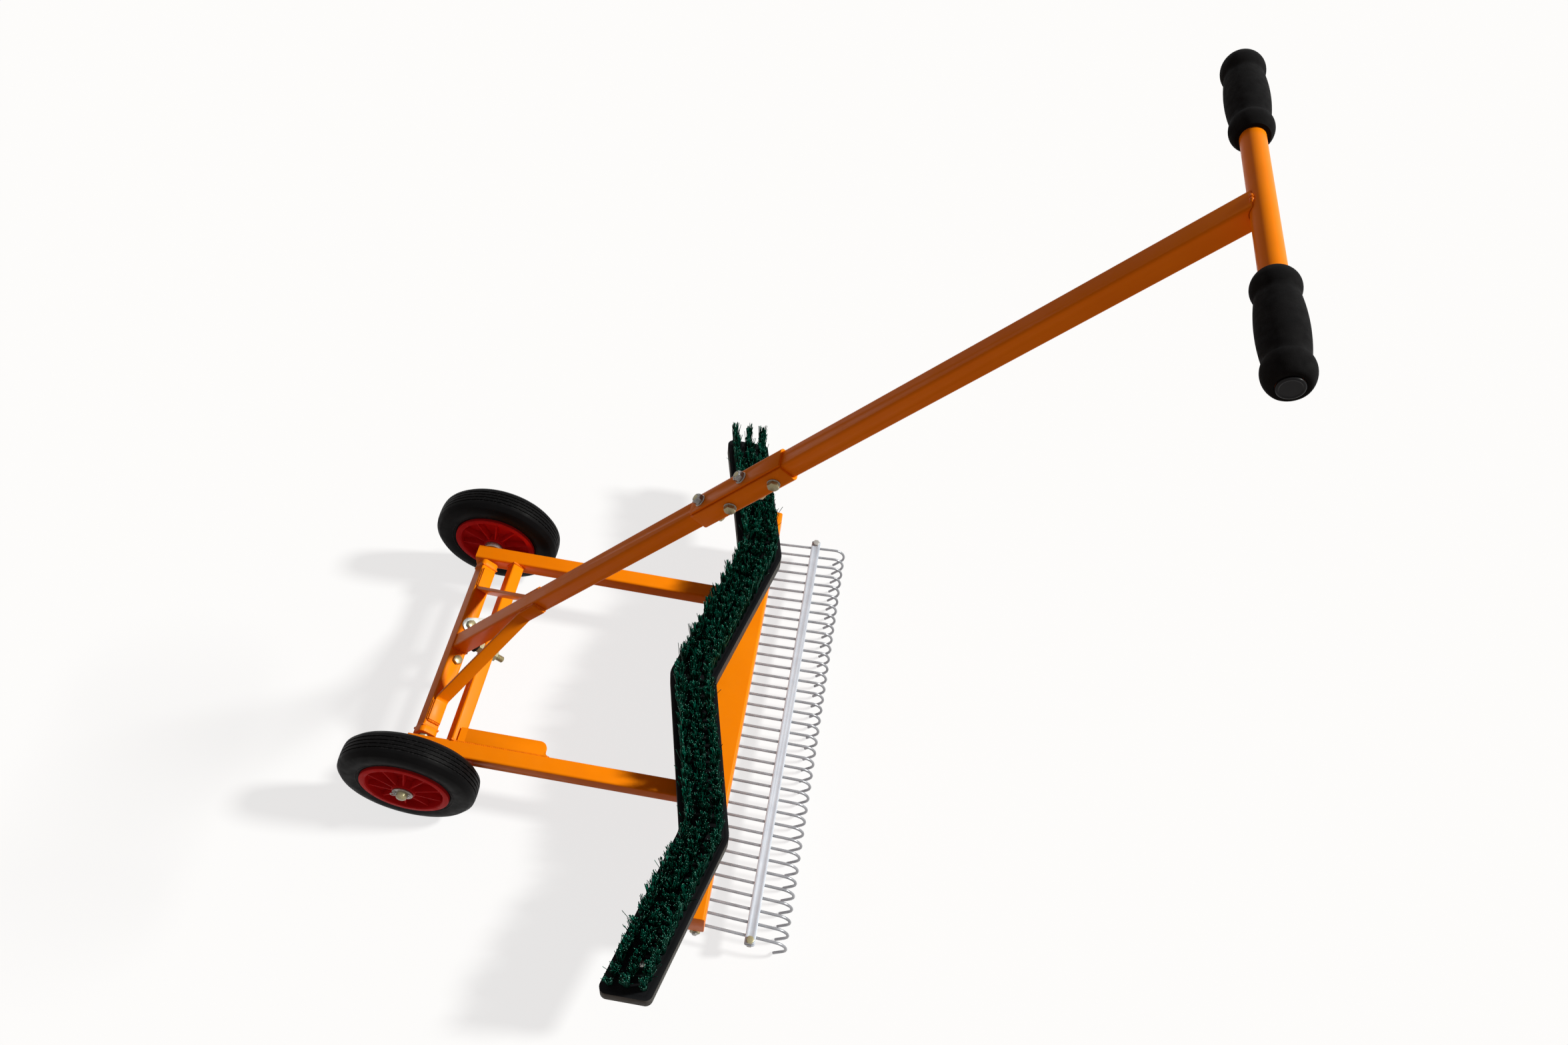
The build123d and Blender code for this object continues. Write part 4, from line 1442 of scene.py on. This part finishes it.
    def plant(
        self, piece: Workpiece, x: float, y: float, row: int, shapes: list[bpy.types.Mesh],
        chance: random.Random,
    ) -> None:
        """Plant one tuft of fibres that part into a few pointed locks.

        Args:
            piece: the run it belongs to.
            x: place of its hole.
            y: place of its hole.
            row: its row, from -1 to 1.
            shapes: fibres to copy.
            chance: source of unevenness.
        """
        lean_x = chance.uniform(-self.lean_x, self.lean_x)
        lean = Vector((lean_x, chance.uniform(-self.lean_y, self.lean_y)))
        outer = max(0.0, abs(y) - self.strip_end + self.end_reach) / self.end_reach
        apart = min(1.0, max(0.0, abs(y) - self.strip_end + self.end_apart) / self.end_apart)
        splay = self.splay_x * (1.0 - (1.0 - self.end_splay) * apart)
        low = max(-splay, -self.reach_x - row * self.row_gap)
        high = min(splay, self.reach_x - row * self.row_gap)
        lean.y += math.copysign(self.end_lean * outer, y)
        locks = []
        for _ in range(self.locks):
            locks.append((self.splayed(low, high, chance), chance.uniform(*self.lock_rise)))
        for k in range(self.spurs if row < 0 and apart < self.spur_apart else 0):
            spur = Vector((chance.uniform(*self.spur_reach), chance.uniform(-self.spur_y, self.spur_y)))
            spur.x -= row * self.row_gap
            locks[k] = (spur, chance.uniform(*self.spur_rise))
        for _ in range(self.strands):
            reach = self.tuft * math.sqrt(chance.random())
            angle = chance.uniform(0, math.tau)
            foot = Vector((reach * math.cos(angle), reach * math.sin(angle)))
            if chance.random() < self.lock_share:
                spot, rise = chance.choice(locks)
                tip = spot + foot * self.lock_hold
            else:
                tip, rise = self.splayed(low, high, chance), chance.uniform(*self.free_rise)
            rise += self.end_rise * outer - self.dome * abs(tip.y / self.splay_y) ** self.dome_power
            stray = self.stray if chance.random() < self.stray_share else self.straight
            slant = lean + (tip - foot) / self.height
            slant += Vector((chance.uniform(-stray, stray), chance.uniform(-stray, stray)))
            room = (self.reach_y - abs(y + foot.y)) / self.height
            slant.y = min(slant.y, room) if y > 0 else max(slant.y, -room)
            shear = Matrix.Identity(4)
            shear[0][2], shear[1][2] = slant
            tall = rise * chance.uniform(*self.trim) / math.sqrt(1 + slant.length_squared)
            copy = chance.choice(shapes).copy()
            spun = Matrix.Rotation(chance.uniform(0, math.tau), 4, "Z") @ Matrix.Diagonal((1, 1, tall, 1))
            copy.transform(level(x + foot.x, y + foot.y, self.low + self.thick - self.root) @ shear @ spun)
            piece.bm.from_mesh(copy)
            bpy.data.meshes.remove(copy)

    def splayed(self, low: float, high: float, chance: random.Random) -> Vector:
        """Chance place of a tip between two limits across its tuft's share of the board."""
        return Vector((chance.uniform(low, high), chance.uniform(-self.splay_y, self.splay_y)))

    def screw_heads(self) -> None:
        """Pan head screws marked with black cross bars as painted shade where the cross socket sits."""
        piece = Workpiece("brush_screws_crossed")
        top = self.low + self.thick
        for x, y in self.screws():
            piece.join(turned(list(self.screw_head), 32), level(x, y, top))
            for turn in self.cross_shade_turns:
                spun = Matrix.Rotation(math.radians(turn), 4, "Z")
                # A solid black bar, not a cut, as painted shade of the cross socket.
                piece.join(block(*self.cross_shade_bar), level(x, y, top + self.cross_shade_z) @ spun, 1)
        # The black rubber finish on index 1 is the painted shade of the crosses.
        piece.finish(Body.CARRIAGE, Slot.ZINC, [self.palette.zinc, self.palette.rubber], ("brush_screws",))


@dataclass
class Handle:
    """Pivot tube, braces, jointed handle tubes and their bolts."""

    palette: Palette
    nodes: tuple[str, ...] = (
        "pivot_tube", "pivot_collars", "brace_left", "brace_right", "handle_lower", "handle_upper",
        "joint_angle_top", "joint_angle_side",
    )
    soft: float = 0.7
    half: float = 12.5
    bolt_flats: float = 13.0
    bolt_head: float = 5.3
    face_bolt: float = 4.0
    face_bolt_t: float = -2.0
    face_bolt_deep: float = 4.0
    latch_bolt: tuple[float, float] = (34.0, 15.8)
    pivot_bolt: tuple[float, float] = (-29.0, 12.52)
    upright_bolts: tuple[float, ...] = (590.0, 664.0)
    side_bolts: tuple[float, ...] = (629.0, 705.0)
    side_bolt_t: float = -2.5
    plate_out: float = 15.5
    joint_bolt: float = 3.98
    bolt_end: float = 8.8
    bolt_end_seat: float = 0.6
    washer: float = 1.6
    washer_bore: float = 4.0
    washer_rim: float = 8.0
    washer_soft: float = 0.3
    nut: float = 6.0
    nut_collar: tuple[Point, ...] = ((4.2, 6.4), (5.6, 6.4), (5.6, 8.2), (5.2, 8.9), (4.2, 9.1), (4.2, 6.4))
    foot_s: float = 12.6
    foot_weld: float = 2.0
    pivot_half: float = 146.0
    collar_weld: float = 1.7
    brace_half: float = 10.0
    brace_out: float = 137.0
    brace_in: float = 104.0
    brace_foot: tuple[float, float] = (13.6, 13.2)
    brace_flank: float = 13.4
    brace_top: tuple[float, float] = (194.0, 228.0)
    brace_end_weld: float = 2.2
    brace_side_weld: float = 1.5
    bar_s: float = 1314.0
    saddle: float = 12.2
    saddle_low: float = 3.5
    saddle_deep: float = 6.5
    saddle_weld: float = 2.0

    def build(self) -> None:
        """Build the handle below its crossbar."""
        for node in self.nodes:
            dress(node, f"{node}_coated", self.soft, Body.HANDLE, Slot.PAINT, self.palette.paint)
        self.face_bolts()
        self.joint_bolts()
        self.welds()

    def face_bolts(self) -> None:
        """Bolts on the pivot tube's face, one of them the latch's pivot."""
        for node, (y, seat) in (("latch_bolt", self.latch_bolt), ("pivot_bolt", self.pivot_bolt)):
            place = along_handle(y, self.face_bolt_t, seat)
            bolt = Workpiece(f"{node}_chamfered").join(hex_solid(self.bolt_flats, self.bolt_head), place)
            bolt.join(round_pin(self.face_bolt, -self.face_bolt_deep, SINK), place)
            bolt.finish(Body.HANDLE, Slot.ZINC, [self.palette.yellow_zinc], (node,))

    def joint_bolts(self) -> None:
        """Bolts through the joint plates, their washers and lock nuts."""
        bolts, nuts = Workpiece("joint_bolts_chamfered"), Workpiece("joint_nuts_locking")
        washers = Workpiece("joint_washers_pressed")
        out = self.plate_out
        pairs = [(over_handle(0, -out, s, -1), over_handle(0, out, s)) for s in self.upright_bolts]
        for s in self.side_bolts:
            near, far = (beside_handle(side * out, self.side_bolt_t, s, side) for side in (-1, 1))
            pairs.append((near, far))
        ring = ring_profile(self.washer_bore, self.washer_rim, GAP, self.washer, self.washer_soft)
        for near, far in pairs:
            for end in (near, far):
                washers.join(turned(ring, 36), end)
            bolts.join(hex_solid(self.bolt_flats, self.bolt_head, self.washer), near)
            bolts.join(round_pin(self.joint_bolt, -2 * out - 1, 1), near)
            lifted = far @ Matrix.Translation((0, 0, self.bolt_end_seat))
            bolts.join(threaded(self.joint_bolt, self.bolt_end), lifted)
            nuts.join(hex_solid(self.bolt_flats, self.nut, self.washer), far)
            nuts.join(turned(list(self.nut_collar), 36), far)
        bolts.finish(Body.HANDLE, Slot.ZINC, [self.palette.yellow_zinc], ("joint_bolts",))
        washers.finish(Body.HANDLE, Slot.ZINC, [self.palette.zinc], ("joint_washers",))
        nuts.finish(Body.HANDLE, Slot.ZINC, [self.palette.nickel], ("joint_nuts",))

    def welds(self) -> None:
        """Beads at the handle's foot, the collars, the braces and the crossbar."""
        seams = Seams("handle_welds")
        here = along_handle(0, 0, 0)
        reach = self.half - SINK
        seams.lay([(a * reach, b * reach, self.foot_s) for a, b in SQUARE], self.foot_weld, here)
        for side in Side:
            end = beside_handle(side.value * self.pivot_half, 0, 0, side.value)
            seams.lay([(a * reach, b * reach, 0) for a, b in SQUARE], self.collar_weld, end)
            self.brace_welds(seams, side, here)
        steps = 32
        line = []
        for k in range(steps + 1):
            a = math.tau * k / steps
            dip = self.saddle_low + self.saddle_deep * math.sin(a) ** 2
            line.append((self.saddle * math.sin(a), self.saddle * math.cos(a), self.bar_s - dip))
        seams.lay(line, self.saddle_weld, here)
        seams.finish(Body.HANDLE, Slot.PAINT, [self.palette.weld], crease=60)

    def brace_welds(self, seams: Seams, side: Side, here: Matrix) -> None:
        """Beads at the two ends of one brace.

        Args:
            seams: the piece that takes them.
            side: the brace's side.
            here: matrix from the handle's own axes.
        """
        out, flank = side.value * self.brace_out, side.value * self.brace_flank
        end_s, side_s = self.brace_foot
        low, high = self.brace_top
        edges = (-self.brace_half, self.brace_half)
        seams.lay([(out, t, end_s) for t in edges], self.brace_end_weld, here)
        seams.lay([(flank, t, high) for t in edges], self.brace_end_weld, here)
        for t in edges:
            inward = side.value * self.brace_in
            seams.lay([(out, t, side_s), (inward, t, side_s)], self.brace_side_weld, here)
            seams.lay([(flank, t, low), (flank, t, high)], self.brace_side_weld, here)


@dataclass
class Latch:
    """Zinc plate that turns on the latch bolt."""

    palette: Palette
    soft: float = 0.4

    def build(self) -> None:
        """Build the plate with softened edges."""
        dress("latch_plate", "latch_plate_pressed", self.soft, Body.LATCH, Slot.ZINC, self.palette.latch)


@dataclass
class Crossbar:
    """Round bar with foam grips and end plugs."""

    palette: Palette
    bar_s: float = 1314.0
    radius: float = 11.9
    bore: float = 10.5
    half: float = 222.0
    cover: float = 2.0
    grip_start: float = 15.0
    grip_end: float = 15.4
    swells: tuple[Point, ...] = (
        (98.0, 15.9), (111.3, 20.7), (121.0, 17.9), (158.0, 21.0), (195.5, 18.4), (206.5, 21.2),
        (222.0, 15.9),
    )
    plug: float = 11.4
    plug_fit: float = 0.05
    plug_shank: float = 10.4
    plug_deep: float = 15.0

    def build(self) -> None:
        """Build the bar, the grips and the plugs."""
        end = self.half - self.cover
        tube: Profile = [(self.bore, -end), (self.radius, -end), (self.radius, end), (self.bore, end)]
        place = beside_handle(0, 0, self.bar_s, 1)
        bar = Workpiece("crossbar_coated").join(turned([*tube, tube[0]], 64), place)
        bar.finish(Body.HANDLE, Slot.PAINT, [self.palette.paint], ("crossbar",))
        for side in Side:
            place = beside_handle(0, 0, self.bar_s, side.value)
            grip = Workpiece(f"grip_{side.label}_foam").join(turned(self.grip_outline(), 72), place)
            obj = grip.finish(Body.HANDLE, Slot.FOAM, [self.palette.foam], (f"grip_{side.label}",), 50)
            plug = Workpiece(f"end_plug_{side.label}_moulded").join(turned(self.plug_outline(), 48), place)
            plug.finish(Body.HANDLE, Slot.PLUG, [self.palette.plug], (f"end_plug_{side.label}",))

    def grip_outline(self) -> Profile:
        """Outline of a grip: three swells, closed over the bar's end.

        Returns:
            Radius and height of its points.
        """
        line: Profile = []
        for k in range(0, len(self.swells) - 1, 2):
            line += arc_through(*self.swells[k:k + 3])
        start, end = self.swells[0][0], self.half
        fit, mouth = self.radius + GAP, self.plug + self.plug_fit
        cover = end - self.cover + GAP
        return [
            (fit, start), (self.grip_start, start), *((r, y) for y, r in line), (self.grip_end, end),
            (self.plug + 0.5, end), (mouth, end - 0.5), (mouth, cover), (fit, cover), (fit, start),
        ]

    def plug_outline(self) -> Profile:
        """Outline of an end plug with a rounded edge and a shallow dished face.

        Returns:
            Radius and height of its points.
        """
        end, edge, shank = self.half, self.plug, self.plug_shank
        return [
            (0, end - self.plug_deep), (shank, end - self.plug_deep), (shank, end + GAP),
            (edge - 0.1, end + GAP), (edge, end + 0.4), (edge, end + 1.2), (edge - 0.25, end + 1.8),
            (edge - 0.8, end + 2.3), (edge - 1.6, end + 2.5), (edge - 2.4, end + 2.3),
            (edge - 3.0, end + 1.9), (0, end + 1.9),
        ]


# Stage


@dataclass
class Stage:
    """White floor, soft lights and the camera."""

    eye: tuple[float, float, float] = (0.12479, -0.9093, 1.7308)
    right: tuple[float, float, float] = (0.98535, 0.14815, 0.08443)
    ahead: tuple[float, float, float] = (-0.02368, 0.60921, -0.79266)
    focal_px: float = 1807.68
    width_px: float = 2352.0
    sensor: float = 36.0
    far: float = 100.0
    white: Colour = (1.0, 1.0, 1.0)
    floor_half: float = 30.0
    floor_z: float = -0.0006
    floor_colour: Colour = (0.93, 0.945, 0.97)
    floor_bounce: Colour = (0.43, 0.31, 0.23)
    floor_glow: float = 0.76
    fill: float = 0.16
    fill_colour: Colour = (1.0, 0.66, 0.48)
    sun: float = 4.1
    sun_spread: float = 7.0
    sun_colour: Colour = (1.0, 0.99, 0.93)
    sun_from: tuple[float, float, float] = (1.15, 0.25, 1.0)

    def build(self) -> None:
        """Set up everything round the tool."""
        self.camera()
        self.floor()
        self.world()
        self.lights()
        bpy.context.scene.view_settings.view_transform = "Standard"

    def camera(self) -> None:
        """Camera at the photograph's angle."""
        data = bpy.data.cameras.new("camera")
        data.sensor_fit = "HORIZONTAL"
        data.sensor_width = self.sensor
        data.lens = self.focal_px / self.width_px * self.sensor
        data.clip_end = self.far
        obj = bpy.data.objects.new("camera", data)
        bpy.context.scene.collection.objects.link(obj)
        z = -Vector(self.ahead).normalized()
        x = Vector(self.right)
        x = (x - z * x.dot(z)).normalized()
        turn = Matrix((x, z.cross(x), z)).transposed().to_4x4()
        obj.matrix_world = Matrix.Translation(self.eye) @ turn
        bpy.context.scene.camera = obj

    def seen(self, g: Graph) -> Socket:
        """Whether the eye or a reflection looks.

        Args:
            g: graph of the material or of the surroundings.

        Returns:
            A socket that is 1 where it does.
        """
        path = g.add("LightPath").outputs
        either = g.add("Math", path["Is Camera Ray"], path["Is Glossy Ray"], operation="MAXIMUM")
        return either.outputs["Value"]

    def floor(self) -> None:
        """Pale floor that stays near white and keeps the tool's shadow."""
        bm = bmesh.new()
        bmesh.ops.create_grid(bm, x_segments=1, y_segments=1, size=self.floor_half)
        mesh = bpy.data.meshes.new("floor")
        bm.to_mesh(mesh)
        bm.free()
        material = bpy.data.materials.new("floor_white")
        material.use_nodes = True
        g = Graph(material.node_tree)
        g.tree.nodes.remove(g.tree.nodes["Principled BSDF"])
        seen = self.seen(g)
        matte = g.add("BsdfDiffuse", g.blend(seen, self.floor_bounce, self.floor_colour))
        lit = g.add("Emission", self.white, 1.0)
        mix = g.add("MixShader", g.times(seen, self.floor_glow), matte.outputs[0], lit.outputs[0])
        g.feed(g.tree.nodes["Material Output"].inputs["Surface"], mix.outputs[0])
        mesh.materials.append(material)
        obj = bpy.data.objects.new("floor", mesh)
        obj.location.z = self.floor_z
        bpy.context.scene.collection.objects.link(obj)

    def world(self) -> None:
        """White surroundings to the eye, with a plain even fill."""
        world = bpy.data.worlds.new("surroundings")
        bpy.context.scene.world = world
        world.use_nodes = True
        g = Graph(world.node_tree)
        g.tree.nodes.remove(g.tree.nodes["Background"])
        fill = g.add("Background", self.fill_colour, self.fill)
        plain = g.add("Background", self.white, 1.0)
        mix = g.add("MixShader", self.seen(g), fill.outputs[0], plain.outputs[0])
        g.feed(g.tree.nodes["World Output"].inputs["Surface"], mix.outputs[0])

    def lights(self) -> None:
        """One broad key from ahead of the tool."""
        data = bpy.data.lights.new("key", "SUN")
        data.energy = self.sun
        data.angle = math.radians(self.sun_spread)
        data.color = self.sun_colour
        obj = bpy.data.objects.new("key", data)
        bpy.context.scene.collection.objects.link(obj)
        obj.rotation_mode = "QUATERNION"
        obj.rotation_quaternion = Vector(self.sun_from).to_track_quat("Z", "Y")


def main() -> None:
    """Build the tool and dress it."""
    logging.basicConfig(level=logging.INFO, format="%(name)s: %(message)s")
    palette = Palette()
    for part in (
        Wheels(palette), AxleSet(palette), Carriage(palette), Rake(palette), Brush(palette), Handle(palette),
        Latch(palette), Crossbar(palette),
    ):
        part.build()
    Stage().build()


if __name__ == "__main__":
    main()
